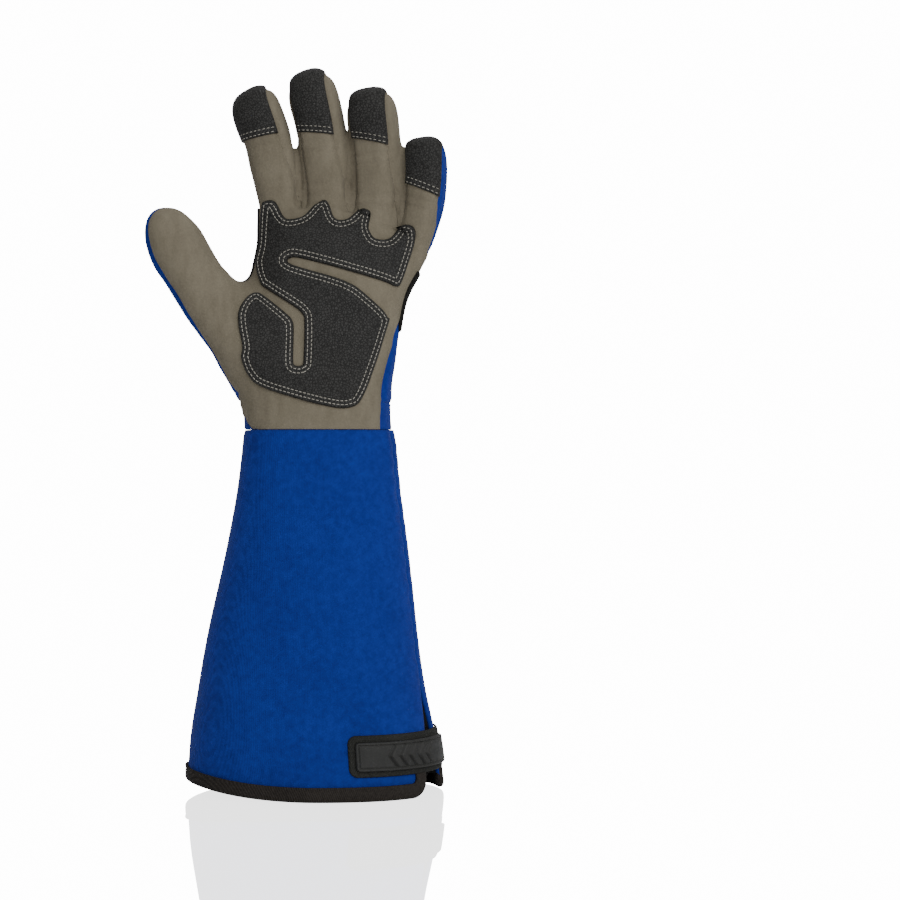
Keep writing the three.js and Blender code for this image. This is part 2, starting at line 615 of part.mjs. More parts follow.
addPiece("palm_panel", toGeometry(mainBody(palmPanel)), "grey");
addPiece("back_panel", toGeometry(mainBody(upperBack.subtract(thumbArea))), "blue");
addPiece("thumb_back", toGeometry(mainBody(upperBack.intersect(thumbArea))), "blue");
addPiece("wrist_band", toGeometry(mainBody(wristBand)), "blue");
for (const [name, [near, far]] of Object.entries(forks)) {
  addPiece(name, toGeometry(mainBody(shell.intersect(forkCutter(near, far, 0)))), "grey");
}

const padBlock = outlineBlock(PAD_OUTLINE, -LARGE, PAD_END_DEPTH, CURVE_DETAIL);
addPiece("palm_pad", toGeometry(mainBody(skin(PAD_THICKNESS, padBlock))), "black");
const forkBlock = outlineBlock(FORK_OUTLINE, FORK_START_DEPTH, LARGE, CURVE_DETAIL, FORK_SLANT);
addPiece("thumb_crotch_patch", toGeometry(mainBody(skin(PATCH_THICKNESS, forkBlock))), "black");
const knuckleSkin = skin(PATCH_THICKNESS, outlineBlock(BAND_OUTLINE, BAND_START_DEPTH, LARGE));
const aroundFork = outlineBlock(FORK_OUTLINE, -LARGE, LARGE, CURVE_DETAIL);
addPiece("knuckle_band", toGeometry(mainBody(knuckleSkin.subtract(aroundFork))), "black");

// A block above a sloping line across a finger, at a distance below its tip.
function aboveLine(finger, below, slope) {
  const reach = finger.width;
  const across = finger.tip.x / KNUCKLE_WIDTH;
  const span = reach / KNUCKLE_WIDTH;
  const up = (finger.tip.z - below) / PALM_LENGTH;
  const tilt = slope * reach / PALM_LENGTH;
  const top = (finger.tip.z + reach) / PALM_LENGTH;
  return outlineBlock([
    [across - span, up - tilt], [across + span, up + tilt], [across + span, top], [across - span, top],
  ], -LARGE, LARGE);
}

// A skin on one finger alone.
function fingerSkin(finger, thickness) {
  const section = roundCorners(FINGER_FACETS);
  return fingerSolid(finger, GAP + thickness, section).subtract(fingerSolid(finger, GAP, section));
}

for (const [name, finger] of Object.entries(FINGERS)) {
  const cap = fingerSkin(finger, CAP_THICKNESS)
    .intersect(fingerFrontCutter(finger, finger === index, 0))
    .intersect(aboveLine(finger, finger.cap, finger.capSlope));
  addPiece(`${name}_cap`, toGeometry(mainBody(cap)), "black");
}
const patchStrip = fingerSolid(index, 0, (halfWidth, halfDepth) => boxCorners(
  INDEX_PATCH.inner * halfWidth, INDEX_PATCH.outer * halfWidth, 0, halfDepth + CUTTER_MARGIN));
const indexPatch = fingerSkin(index, PATCH_THICKNESS).intersect(patchStrip)
  .intersect(aboveLine(index, INDEX_PATCH.below, index.capSlope))
  .subtract(aboveLine(index, INDEX_PATCH.above, index.capSlope));
addPiece("index_patch", toGeometry(mainBody(indexPatch)), "black");

// The cuff starts above the binding's thickness, so that the mouth is at height 0.
const HEM = BINDING_THICKNESS + GAP;

function cuffAngles() {
  return Array.from({ length: CUFF_FACETS }, (_, i) => 2 * Math.PI * i / CUFF_FACETS);
}

// The cuff's solid grown by an offset, from the hem to the wrist seam, and straight on below and above them.
function cuffSolid(offset, below, above) {
  const heights = [HEM, ...CUFF_ROWS.map((row) => row.up * CUFF_LENGTH).filter((z) => z > HEM)];
  const rings = heights.map((z) => cuffAngles().map((angle) => cuffPoint(z, angle, offset)));
  const shifted = (ring, rise) => ring.map((point) => point.clone().setZ(point.z + rise));
  if (below > 0) {
    rings.unshift(shifted(rings[0], -below));
  }
  if (above > 0) {
    rings.push(shifted(rings[rings.length - 1], above));
  }
  return loft(rings);
}

// A point on the flat facets of the cuff, so that what lies against them keeps its gap all over.
function facetPoint(z, angle, offset) {
  const step = 2 * Math.PI / CUFF_FACETS;
  const low = Math.floor(angle / step);
  return cuffPoint(z, low * step, offset).lerp(cuffPoint(z, (low + 1) * step, offset), angle / step - low);
}

// How many millimetres of the cuff's edge one radian covers at an angle, near the hem.
function arcPerRadian(angle) {
  const step = 0.01;
  return cuffPoint(HEM, angle + step, 0).distanceTo(cuffPoint(HEM, angle, 0)) / step;
}

const ARC_STEPS = 60;

// The angle reached by going a length round the hem from a start, towards the palm.
function angleAfter(start, length) {
  let angle = start;
  for (let i = 0; i < ARC_STEPS; i += 1) {
    angle -= length / ARC_STEPS / arcPerRadian(angle);
  }
  return angle;
}

// The vent's half angle at a height: widest at the hem, closed at its apex.
function ventHalfAngle(z) {
  return VENT_WIDTH / 2 / arcPerRadian(VENT_ANGLE) * Math.max(0, 1 - (z - HEM) / VENT_HEIGHT);
}

const ventReach = 4 * WALL;
const ventHeights = [HEM - ventReach, HEM, HEM + VENT_HEIGHT * VENT_END];
const ventSolid = loft(ventHeights.map((z) => {
  const half = ventHalfAngle(Math.max(HEM, z));
  return [[-half, ventReach], [half, ventReach], [half, -ventReach], [-half, -ventReach]]
    .map(([turn, offset]) => cuffPoint(z, VENT_ANGLE + turn, offset));
}));
addPiece("cuff", toGeometry(mainBody(
  cuffSolid(0, 0, 0).subtract(cuffSolid(-WALL, ventReach, ventReach)).subtract(ventSolid))), "blue");

// The binding folds round the hem, from one edge of the vent to the other: a profile of [offset, height] swept
// over the cuff's facets.
const ventEdge = ventHalfAngle(HEM);
const bindingAngles = [VENT_ANGLE + ventEdge, VENT_ANGLE - ventEdge + 2 * Math.PI, ...cuffAngles()
  .flatMap((angle) => [angle, angle + 2 * Math.PI])
  .filter((angle) => angle > VENT_ANGLE + ventEdge && angle < VENT_ANGLE - ventEdge + 2 * Math.PI)]
  .sort((a, b) => a - b);
const bindingTop = HEM + BINDING_HEIGHT;
const bindingProfile = [
  [GAP + BINDING_THICKNESS, 0], [GAP + BINDING_THICKNESS, bindingTop], [GAP, bindingTop], [GAP, HEM - 2 * GAP],
  [-WALL - GAP, HEM - 2 * GAP], [-WALL - GAP, bindingTop],
  [-WALL - GAP - BINDING_THICKNESS, bindingTop], [-WALL - GAP - BINDING_THICKNESS, 0],
];
const bindingRings = bindingAngles.map((angle) => bindingProfile.map(
  ([offset, z]) => facetPoint(z, angle, offset)));
addPiece("hem_binding", toGeometry(mainBody(loft(bindingRings))), "black");

function spread(from, to, count) {
  return Array.from({ length: count + 1 }, (_, i) => mix(from, to, i / count));
}

// The gusset behind the vent, folded into pleats that open towards the hem.
const gussetSteps = 4 * GUSSET_FOLDS;
const gussetLow = bindingTop + 2 * BINDING_THICKNESS;
const gussetRings = spread(gussetLow, HEM + VENT_HEIGHT + GUSSET_OVERLAP, GUSSET_SECTIONS).map((z) => {
  const half = ventHalfAngle(z) + GUSSET_OVERLAP / arcPerRadian(VENT_ANGLE);
  const opening = Math.max(0, 1 - (z - HEM) / VENT_HEIGHT);
  const pleat = (share) => GUSSET_FOLD_DEPTH * opening * (1 - Math.cos(2 * Math.PI * GUSSET_FOLDS * share)) / 2;
  const side = (extra) => spread(0, 1, gussetSteps).map((share) => facetPoint(
    z, VENT_ANGLE + mix(-half, half, share), -WALL - 2 * GAP - pleat(share) - extra));
  return [...side(0), ...side(GUSSET_THICKNESS).reverse()];
});
addPiece("vent_gusset", toGeometry(mainBody(loft(gussetRings))), "black");

// A block, seen from the palm, with rounded corners on its free end, from an x to past the cuff's edge.
function strapBlock(fromX, toX, halfHeight, radius, yTo) {
  const shape = new THREE.Shape();
  const [low, high] = [strapMiddle - halfHeight, strapMiddle + halfHeight];
  shape.moveTo(toX, low);
  shape.lineTo(toX, high);
  shape.lineTo(fromX + radius, high);
  shape.absarc(fromX + radius, high - radius, radius, Math.PI / 2, Math.PI, false);
  shape.absarc(fromX + radius, low + radius, radius, Math.PI, 1.5 * Math.PI, false);
  shape.closePath();
  const geometry = new THREE.ExtrudeGeometry(shape, {
    depth: yTo + LARGE, bevelEnabled: false, curveSegments: 4,
  });
  geometry.rotateX(Math.PI / 2);
  geometry.translate(0, yTo, 0);
  return toSolid(geometry);
}

const strapTip = angleAfter(STRAP_END_ANGLE, STRAP_LENGTH);
const strapMiddle = HEM + STRAP_ABOVE_HEM + STRAP_HEIGHT / 2;
const strapTop = GAP + STRAP_THICKNESS;
const edgeX = CUFF_MOUTH_WIDTH;
const strapEnd = cuffPoint(strapMiddle, STRAP_END_ANGLE, strapTop);
const strap = cuffSolid(strapTop, 0, 0).subtract(cuffSolid(GAP, 0, 0)).intersect(strapBlock(
  cuffPoint(strapMiddle, strapTip, 0).x, edgeX, STRAP_HEIGHT / 2, STRAP_CORNER, strapEnd.y));
addPiece("strap", toGeometry(mainBody(strap)), "black");

// The moulded tab on the strap, with grooves in the shape of chevrons that point to its free end.
const tabTip = angleAfter(STRAP_END_ANGLE, STRAP_LENGTH - TAB_MARGIN);
const tabEnd = angleAfter(STRAP_END_ANGLE, STRAP_LENGTH - TAB_MARGIN - TAB_LENGTH);
const tabLow = strapTop + GAP;
const tabHigh = tabLow + TAB_THICKNESS;
const tabHalf = STRAP_HEIGHT / 2 - TAB_MARGIN;
const tabX = (place, offset) => cuffPoint(strapMiddle, angleAfter(tabTip, -place), offset).x;
const tab = cuffSolid(tabHigh, 0, 0).subtract(cuffSolid(tabLow, 0, 0)).intersect(strapBlock(
  tabX(0, tabLow), edgeX, tabHalf, STRAP_CORNER / 2, cuffPoint(strapMiddle, tabEnd, tabLow).y));
const grooveDepths = cuffSolid(tabHigh + OVERLAP, 0, 0).subtract(cuffSolid(tabHigh - GROOVE_DEPTH, 0, 0));
const chevrons = Array.from({ length: CHEVRONS }, (_, i) => {
  const place = CHEVRON_START + i * CHEVRON_PITCH;
  const edge = (extra) => [-CHEVRON_LEVEL, 0, CHEVRON_LEVEL].map((level) => [
    tabX(place + extra + Math.abs(level) * CHEVRON_REACH, tabHigh) / KNUCKLE_WIDTH,
    (strapMiddle + level * tabHalf - CUFF_LENGTH - GAP) / PALM_LENGTH,
  ]);
  return outlineBlock([...edge(0), ...edge(GROOVE_WIDTH).reverse()], -LARGE, 0, 0);
});
addPiece("strap_tab", toGeometry(mainBody(tab.subtract(join(chevrons).intersect(grooveDepths)))), "rubber");

export default group;
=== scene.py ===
"""Looks of the rose pruning gauntlet: panels, patches, stitches, binding, strap, finishes and studio.

Lengths are in millimetres until a mesh is made. Z runs from the cuff's mouth to the fingertips, the palm
faces -Y and the thumb is on the -X side. Angles round the glove start at the little finger's side and turn
over the back.
"""
import logging
import math
from dataclasses import dataclass, field
from enum import Enum
from typing import Callable, Sequence

import bpy
import numpy as np
import openvdb
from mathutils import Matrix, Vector

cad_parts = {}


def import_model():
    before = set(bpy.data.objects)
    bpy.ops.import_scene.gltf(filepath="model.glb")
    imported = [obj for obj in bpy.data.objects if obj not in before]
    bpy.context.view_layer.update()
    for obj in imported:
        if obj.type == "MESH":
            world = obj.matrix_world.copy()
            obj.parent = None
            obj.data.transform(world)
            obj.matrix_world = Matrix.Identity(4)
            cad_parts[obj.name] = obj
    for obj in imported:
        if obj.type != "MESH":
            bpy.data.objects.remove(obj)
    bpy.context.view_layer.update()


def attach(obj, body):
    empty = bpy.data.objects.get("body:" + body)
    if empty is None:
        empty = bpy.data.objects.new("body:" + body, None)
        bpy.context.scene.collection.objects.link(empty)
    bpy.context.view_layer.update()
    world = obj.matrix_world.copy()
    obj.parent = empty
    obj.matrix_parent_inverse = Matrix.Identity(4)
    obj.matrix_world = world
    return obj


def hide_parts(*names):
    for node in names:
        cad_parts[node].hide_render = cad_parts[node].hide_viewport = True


log = logging.getLogger("gauntlet")
Array = np.ndarray
Triple = tuple[float, float, float]
Object = bpy.types.Object
Material = bpy.types.Material
Tree = bpy.types.NodeTree
Node = bpy.types.Node
Socket = bpy.types.NodeSocket

MM = 0.001
CUFF_LENGTH = 205.4
CUFF_MOUTH_WIDTH = 146.0
CUFF_MOUTH_DEPTH = 100.0
HEM_LIFT = 6.0
VENT_HEIGHT = 62.0
VENT_WIDTH = 26.0
VENT_ANGLE = -0.31
BINDING_HEIGHT = 7.0
BINDING_THICKNESS = 1.2
WRIST_DEPTH = 60.0
WRIST_BAND_HEIGHT = 15.0
PALM_LENGTH = 130.0
KNUCKLE_WIDTH = 105.0
PALM_DEPTH = 50.0
KNUCKLE_DROP = 22.0
WALL = 2.0
GAP = 0.3
HEM = BINDING_THICKNESS + GAP
WRIST = CUFF_LENGTH + GAP
CUFF_POWER = 2.15
HAND_POWER = 2.5
FINGER_POWER = 2.35
# The distance that stands for all places far from a surface.
FAR = 30.0


class Side(Enum):
    """The side that an outline is seen from: the palm or the back of the hand."""

    PALM = -1
    BACK = 1


@dataclass(frozen=True)
class Sections:
    """A short table of sections with named columns, read smoothly between its rows."""

    names: tuple[str, ...]
    rows: tuple[tuple[float, ...], ...]

    def read(self, name: str, place: Array) -> Array:
        """Reads a column at places in the first, by a cubic with slopes from the neighbouring rows.

        Args:
            name: the column.
            place: where to read it.

        Returns:
            The column's values there, held level past both ends.
        """
        table = np.array(self.rows)
        places = table[:, 0]
        values = table[:, self.names.index(name)]
        slopes = np.gradient(values, places)
        low = np.clip(np.searchsorted(places, place) - 1, 0, len(places) - 2)
        width = places[low + 1] - places[low]
        share = np.clip((place - places[low]) / width, 0.0, 1.0)
        rest = 1.0 - share
        ends = (1.0 + 2.0 * share) * rest**2 * values[low] + share**2 * (3.0 - 2.0 * share) * values[low + 1]
        return ends + width * share * rest * (rest * slopes[low] - share * slopes[low + 1])


CUFF_ROWS = Sections(("up", "thumb", "little", "depth"), (
    (0.0, 1.0, 1.0, 1.0),
    (0.14, 0.96, 0.88, 0.92),
    (0.28, 0.81, 0.68, 0.75),
    (0.42, 0.635, 0.5, 0.58),
    (0.56, 0.46, 0.38, 0.43),
    (0.7, 0.29, 0.25, 0.28),
    (0.84, 0.125, 0.13, 0.13),
    (1.0, 0.0, 0.0, 0.0),
))
HAND_ROWS = Sections(("up", "thumb", "little", "palm", "back", "arch"), (
    (0.0, 0.386, 0.428, 0.6, 0.6, 0.0),
    (0.08, 0.397, 0.42, 0.575, 0.555, 0.0),
    (0.19, 0.435, 0.421, 0.56, 0.53, 0.0),
    (0.3, 0.475, 0.44, 0.54, 0.5, 0.0),
    (0.42, 0.48, 0.458, 0.52, 0.48, 0.1),
    (0.55, 0.412, 0.478, 0.49, 0.46, 0.24),
    (0.68, 0.34, 0.503, 0.465, 0.445, 0.44),
    (0.81, 0.297, 0.56, 0.42, 0.41, 0.7),
    (0.91, 0.272, 0.585, 0.34, 0.34, 0.9),
    (0.965, 0.255, 0.565, 0.23, 0.23, 0.98),
    (0.985, 0.24, 0.54, 0.13, 0.13, 1.0),
    (1.0, 0.23, 0.52, 0.03, 0.03, 1.0),
))
SEAM_ROWS = Sections(("up", "thumb", "little", "rear"), (
    (0.0, 0.5, 0.36, 0.21),
    (0.08, 0.45, 0.36, 0.21),
    (0.19, 0.42, 0.37, 0.21),
    (0.3, 0.45, 0.4, 0.21),
    (0.42, 0.46, 0.455, 0.21),
    (0.55, 0.6, 0.51, 0.06),
    (0.68, 0.6, 0.56, 0.02),
    (0.81, 0.6, 0.62, 0.0),
    (0.91, 0.6, 0.63, 0.0),
    (0.985, 0.6, 0.57, 0.0),
))
THUMB_SEAM = Sections(("up", "across"), (
    (-0.1, -0.3),
    (0.12, -0.315),
    (0.28, -0.35),
    (0.42, -0.42),
    (0.52, -0.44),
    (0.68, -0.42),
    (1.2, -0.5),
))
FINGER_ROOM = 0.21
THENAR_INSET = 0.12
FRONT_SHARE = 0.75
ROOT_FRONT_SHARE = 1.3
FRONT_TAPER = 0.6
STRIP_SHARE = 0.76
# How far a panel's bounds lie off the surface, where no seam ends it.
PANEL_BEYOND = 6.0
STRIP_BEYOND = 4.0
# The share of a finger's length at which its panels start.
PANEL_START = 0.001
THUMB_SEAM_SHARE = -0.1
BEND_SHARES = (0.0, 0.25, 0.5)


def blend_min(a: Array, b: Array, reach: Array | float) -> Array:
    """The smaller of two distances, rounded where they come within reach of each other."""
    share = np.clip(0.5 + 0.5 * (b - a) / reach, 0.0, 1.0)
    return b + (a - b) * share - reach * share * (1.0 - share)


def smooth_step(low: float, high: float, value: Array) -> Array:
    """Zero below low, one above high, with a soft S between them."""
    share = np.clip((value - low) / (high - low), 0.0, 1.0)
    return share * share * (3.0 - 2.0 * share)


def rounded_distance(across: Array, through: Array, half: Array, depth: Array, power: float) -> Array:
    """Distance to a rounded section along the line to its centre: below zero inside it.

    The section is where (|across| / half)^power + (|through| / depth)^power is one.
    """
    ratio = ((np.abs(across) / half) ** power + (np.abs(through) / depth) ** power) ** (1.0 / power)
    return np.hypot(across, through) * (1.0 - 1.0 / np.maximum(ratio, 1e-6))


def rounded_edge(inside: Array, width: float) -> Array:
    """A quarter circle's rise, from zero at an edge to one at a width inside it."""
    return np.sqrt(1.0 - (1.0 - np.clip(inside / width, 0.0, 1.0)) ** 2)


def bell(value: Array, width: float) -> Array:
    """One at zero, falling softly to both sides within about two widths."""
    return np.exp(-(value / width) ** 2)


def unit(vectors: Array) -> Array:
    """Vectors at length one."""
    return vectors / np.maximum(np.linalg.norm(vectors, axis=-1, keepdims=True), 1e-9)


def rounded_unit(angle: Array, power: float) -> tuple[Array, Array]:
    """The two coordinates of a rounded section at an angle, each between -1 and 1."""
    cosine = np.cos(angle)
    sine = np.sin(angle)
    return (np.sign(cosine) * np.abs(cosine) ** (2.0 / power), np.sign(sine) * np.abs(sine) ** (2.0 / power))


@dataclass(frozen=True)
class Local:
    """Places in a finger's own frame: share of length, sideways, to its back, and past its dome's start."""

    share: Array
    sideways: Array
    back: Array
    along: Array
    half_width: Array
    half_depth: Array


@dataclass(frozen=True)
class Finger:
    """A finger of the glove: a rounded tube on a curve from root through bend to tip, closed by a dome."""

    name: str
    width: float
    depth: float
    root_share: float
    turn: float
    root: Triple
    bend: Triple
    tip: Triple
    cap: float = 0.0
    cap_slope: float = 0.0
    open_thumb_side: bool = False
    dome_share: float = 0.7
    dome_power: float = 2.8
    curve_steps: int = 16
    outer_front: float = FRONT_SHARE

    def ends(self) -> Array:
        """Root, bend and tip in the glove's frame."""
        return np.array([self.root, self.bend, self.tip]) + (0.0, 0.0, WRIST)

    def length(self) -> float:
        """Straight length from root to tip."""
        ends = self.ends()
        return float(np.linalg.norm(ends[2] - ends[0]))

    def centre(self, share: Array) -> Array:
        """Points of the curve: root, bend and tip weighted by (1-t)^2, 2t(1-t) and t^2."""
        root, bend, tip = self.ends()
        t = share[:, None]
        return (1.0 - t) ** 2 * root + 2.0 * t * (1.0 - t) * bend + t * t * tip

    def tangent(self, share: Array) -> Array:
        """The curve's derivative by its share."""
        root, bend, tip = self.ends()
        t = share[:, None]
        return 2.0 * (1.0 - t) * (bend - root) + 2.0 * t * (tip - bend)

    def frame(self, share: Array) -> tuple[Array, Array, Array]:
        """Axis, sideways and front directions at shares of the length.

        Sideways is square to the axis and to the palm's direction. It and the front are turned about the
        axis by the share of the turn that the finger has made there.
        """
        axis = unit(self.tangent(share))
        palmward = np.array([0.0, -1.0, 0.0])
        side = unit(np.cross(axis, palmward))
        front = unit(np.cross(side, axis))
        turned = self.turn * np.interp(share, BEND_SHARES, (0.0, 0.3, 1.0))[:, None]
        cosine = np.cos(turned)
        sine = np.sin(turned)
        return axis, side * cosine + front * sine, front * cosine - side * sine

    def locate(self, points: Array) -> Array:
        """The share of the curve that lies closest to each point: the best chord, then one Newton step."""
        knots = self.centre(np.linspace(0.0, 1.0, self.curve_steps + 1))
        best = np.full(len(points), np.inf)
        share = np.zeros(len(points))
        for step in range(self.curve_steps):
            chord = knots[step + 1] - knots[step]
            away = points - knots[step]
            place = np.clip(away @ chord / (chord @ chord), 0.0, 1.0)
            gap = ((away - place[:, None] * chord) ** 2).sum(1)
            closer = gap < best
            best = np.where(closer, gap, best)
            share = np.where(closer, (step + place) / self.curve_steps, share)
        root, bend, tip = self.ends()
        velocity = self.tangent(share)
        away = self.centre(share) - points
        slope = (velocity**2).sum(1) + away @ (2.0 * (root - 2.0 * bend + tip))
        return np.clip(share - (away * velocity).sum(1) / np.maximum(slope, 1.0), 0.0, 1.0)

    def front_limit(self, place: Local, tip_share: float) -> Array:
        """How far sideways the front reaches: a share of the half width that grows towards the root."""
        taper = np.minimum(1.0, place.share / FRONT_TAPER)
        return (ROOT_FRONT_SHARE + (tip_share - ROOT_FRONT_SHARE) * taper) * place.half_width

    def panel_ends(self, place: Local) -> tuple[Array, Array]:
        """How far places lie below the finger's root, and past its dome or its front."""
        below = -(place.share - PANEL_START) * self.length()
        past = place.along - self.dome_share * self.width - PANEL_BEYOND
        return below, np.maximum(past, -place.half_depth - PANEL_BEYOND - place.back)

    def front_panel(self, place: Local) -> Array:
        """How far places lie outside the finger's front panel, below zero on it."""
        inner = self.front_limit(place, FRONT_SHARE)
        if self.open_thumb_side:
            inner = place.half_width + PANEL_BEYOND
        outer = self.front_limit(place, self.outer_front)
        sides = [place.sideways - outer, -place.sideways - inner, place.back]
        return np.maximum.reduce([*sides, *self.panel_ends(place)])

    def side_strip(self, place: Local, direction: int) -> Array:
        """How far places lie outside the strip on one side of the finger, below zero on it."""
        sideways = direction * place.sideways
        sides = [self.front_limit(place, FRONT_SHARE) - sideways, sideways - place.half_width - STRIP_BEYOND]
        back = np.abs(place.back) - STRIP_SHARE * place.half_depth
        return np.maximum.reduce([*sides, back, *self.panel_ends(place)])

    def local(self, points: Array) -> Local:
        """Places of points in the finger's own frame."""
        share = self.locate(points)
        axis, side, front = self.frame(share)
        away = points - self.centre(share)
        beyond = (away * axis).sum(1)
        dome_start = 1.0 - self.dome_share * self.width / self.length()
        size = self.root_share + (1.0 - self.root_share) * smooth_step(0.0, 0.6, share)
        return Local(
            share=share,
            sideways=(away * side).sum(1),
            back=-(away * front).sum(1),
            along=(share - dome_start) * self.length() + np.where(share > 0.5, beyond, 0.0),
            half_width=self.width / 2.0 * size,
            half_depth=self.depth / 2.0 * size,
        )

    def distance(self, points: Array) -> Array:
        """Distance to the finger's surface, about true near it, and far away held at a large value.

        The dome adds its own share to the section's ratio: (ratio^p + (along / dome length)^p)^(1 / p),
        where p is the dome's power.
        """
        ends = self.ends()
        margin = self.width + PANEL_BEYOND
        near = np.all((points > ends.min(0) - margin) & (points < ends.max(0) + margin), axis=1)
        result = np.full(len(points), FAR)
        if not near.any():
            return result
        place = self.local(points[near])
        section = ((np.abs(place.sideways) / place.half_width) ** FINGER_POWER
                   + (np.abs(place.back) / place.half_depth) ** FINGER_POWER) ** (1.0 / FINGER_POWER)
        dome = np.maximum(place.along, 0.0) / (self.dome_share * self.width)
        power = self.dome_power
        ratio = np.maximum((section**power + dome**power) ** (1.0 / power), 1e-6)
        span = np.sqrt(place.sideways**2 + place.back**2 + np.maximum(place.along, 0.0) ** 2)
        result[near] = span * (1.0 - 1.0 / ratio)
        return result


FINGERS = (
    Finger("index", 27.0, 25.5, 0.82, 0.3,
           (-19.5, 0.0, 104.0), (-19.0, 2.0, 158.0), (-38.0, -13.0, 192.0), 28.0, 0.19, True),
    Finger("middle", 28.2, 26.0, 0.9, 0.32,
           (3.0, 0.0, 104.0), (11.5, 3.0, 155.0), (-5.0, -15.0, 202.5), 34.5, -0.11),
    Finger("ring", 28.6, 25.5, 0.88, 0.34,
           (29.0, 0.0, 100.0), (40.5, 2.0, 150.0), (29.5, -16.0, 192.5), 29.5, -0.22),
    Finger("little", 24.8, 23.5, 0.8, 0.3,
           (42.0, 0.0, 82.0), (69.5, 0.0, 124.0), (60.5, -14.0, 165.0), 29.5, -0.42, outer_front=0.9),
)
THUMB = Finger("thumb", 32.5, 29.0, 1.25, -0.35,
               (-25.0, -3.0, 38.0), (-71.5, -11.0, 79.0), (-88.0, -15.0, 125.5),
               dome_share=0.9, dome_power=2.05)
FORKS = {
    "fourchette_index_middle": (0, 1),
    "fourchette_middle_ring": (1, 2),
    "fourchette_ring_little": (2, 3),
}
# How far two neighbouring fingers blend, by height over the wrist: the folds between them fade out below.
FINGER_BLENDS = (
    ((118.0, 14.0), (138.0, 4.5), (158.0, 4.5), (168.0, 1.0)),
    ((118.0, 14.0), (138.0, 4.5), (166.0, 4.5), (176.0, 1.0)),
    ((106.0, 14.0), (128.0, 7.0)),
)


@dataclass
class Skin:
    """A triangle mesh: points, faces, and named values at its points."""

    points: Array
    faces: Array
    values: dict[str, Array] = field(default_factory=dict)

    def compact(self, faces: Array) -> "Skin":
        """The same mesh with only some faces, and only the points that they use."""
        used, places = np.unique(faces, return_inverse=True)
        values = {name: value[used] for name, value in self.values.items()}
        return Skin(self.points[used], places.reshape(faces.shape), values)

    def _with_edge_points(self, edges: Array, share: Array) -> tuple["Skin", Array]:
        """Adds one point on each distinct edge, and says which new point each given edge has."""
        turned = edges[:, 0] > edges[:, 1]
        ordered = np.where(turned[:, None], edges[:, ::-1], edges)
        share = np.where(turned, 1.0 - share, share)
        _, first, places = np.unique(ordered, axis=0, return_index=True, return_inverse=True)
        pairs = ordered[first]
        part = share[first]

        def between(value: Array) -> Array:
            weight = part if value.ndim == 1 else part[:, None]
            return np.concatenate([value, value[pairs[:, 0]] * (1.0 - weight) + value[pairs[:, 1]] * weight])

        values = {name: between(value) for name, value in self.values.items()}
        return Skin(between(self.points), self.faces, values), places.reshape(-1) + len(self.points)

    def cut(self, level: Array) -> "Skin":
        """Keeps the part where level is below zero, with a clean edge where it crosses zero.

        Args:
            level: one value for each point.

        Returns:
            The part that is kept. A triangle that crosses gets new points where its edges reach zero.
        """
        level = np.where(np.abs(level) < 1e-4, -1e-4, level)
        inside = level < 0.0
        count = inside[self.faces].sum(1)
        one = self.faces[count == 1]
        one_turn = np.argmax(inside[one], axis=1) if len(one) else np.zeros(0, int)
        two = self.faces[count == 2]
        two_turn = (np.argmin(inside[two], axis=1) + 1) % 3 if len(two) else np.zeros(0, int)
        one = np.take_along_axis(one, (one_turn[:, None] + np.arange(3)) % 3, 1)
        two = np.take_along_axis(two, (two_turn[:, None] + np.arange(3)) % 3, 1)
        edges = np.concatenate([one[:, [0, 1]], one[:, [0, 2]], two[:, [1, 2]], two[:, [0, 2]]])
        start = level[edges[:, 0]]
        grown, new = self._with_edge_points(edges, start / (start - level[edges[:, 1]]))
        one_to_b, one_to_c, two_b_c, two_a_c = np.split(new, np.cumsum([len(one), len(one), len(two)]))
        faces = np.concatenate([
            self.faces[count == 3],
            np.stack([one[:, 0], one_to_b, one_to_c], 1),
            np.stack([two[:, 0], two[:, 1], two_b_c], 1),
            np.stack([two[:, 0], two_b_c, two_a_c], 1),
        ])
        return grown.compact(faces)

    def divided(self) -> "Skin":
        """Each triangle in four, with new points at the middles of its edges."""
        a, b, c = self.faces.T
        edges = np.concatenate([np.stack([a, b], 1), np.stack([b, c], 1), np.stack([c, a], 1)])
        grown, new = self._with_edge_points(edges, np.full(len(edges), 0.5))
        ab, bc, ca = np.split(new, 3)
        quarters = ((a, ab, ca), (ab, b, bc), (ca, bc, c), (ab, bc, ca))
        faces = np.concatenate([np.stack(corners, 1) for corners in quarters])
        return Skin(grown.points, faces, grown.values)

    def largest(self) -> "Skin":
        """The connected part with the most faces: each point takes the lowest number along its edges."""
        label = np.arange(len(self.points))
        while True:
            lowest = label[self.faces].min(1)
            spread = label.copy()
            for corner in range(3):
                np.minimum.at(spread, self.faces[:, corner], lowest)
            spread = spread[spread]
            if np.array_equal(spread, label):
                break
            label = spread
        names, counts = np.unique(label[self.faces[:, 0]], return_counts=True)
        return self.compact(self.faces[label[self.faces[:, 0]] == names[np.argmax(counts)]])


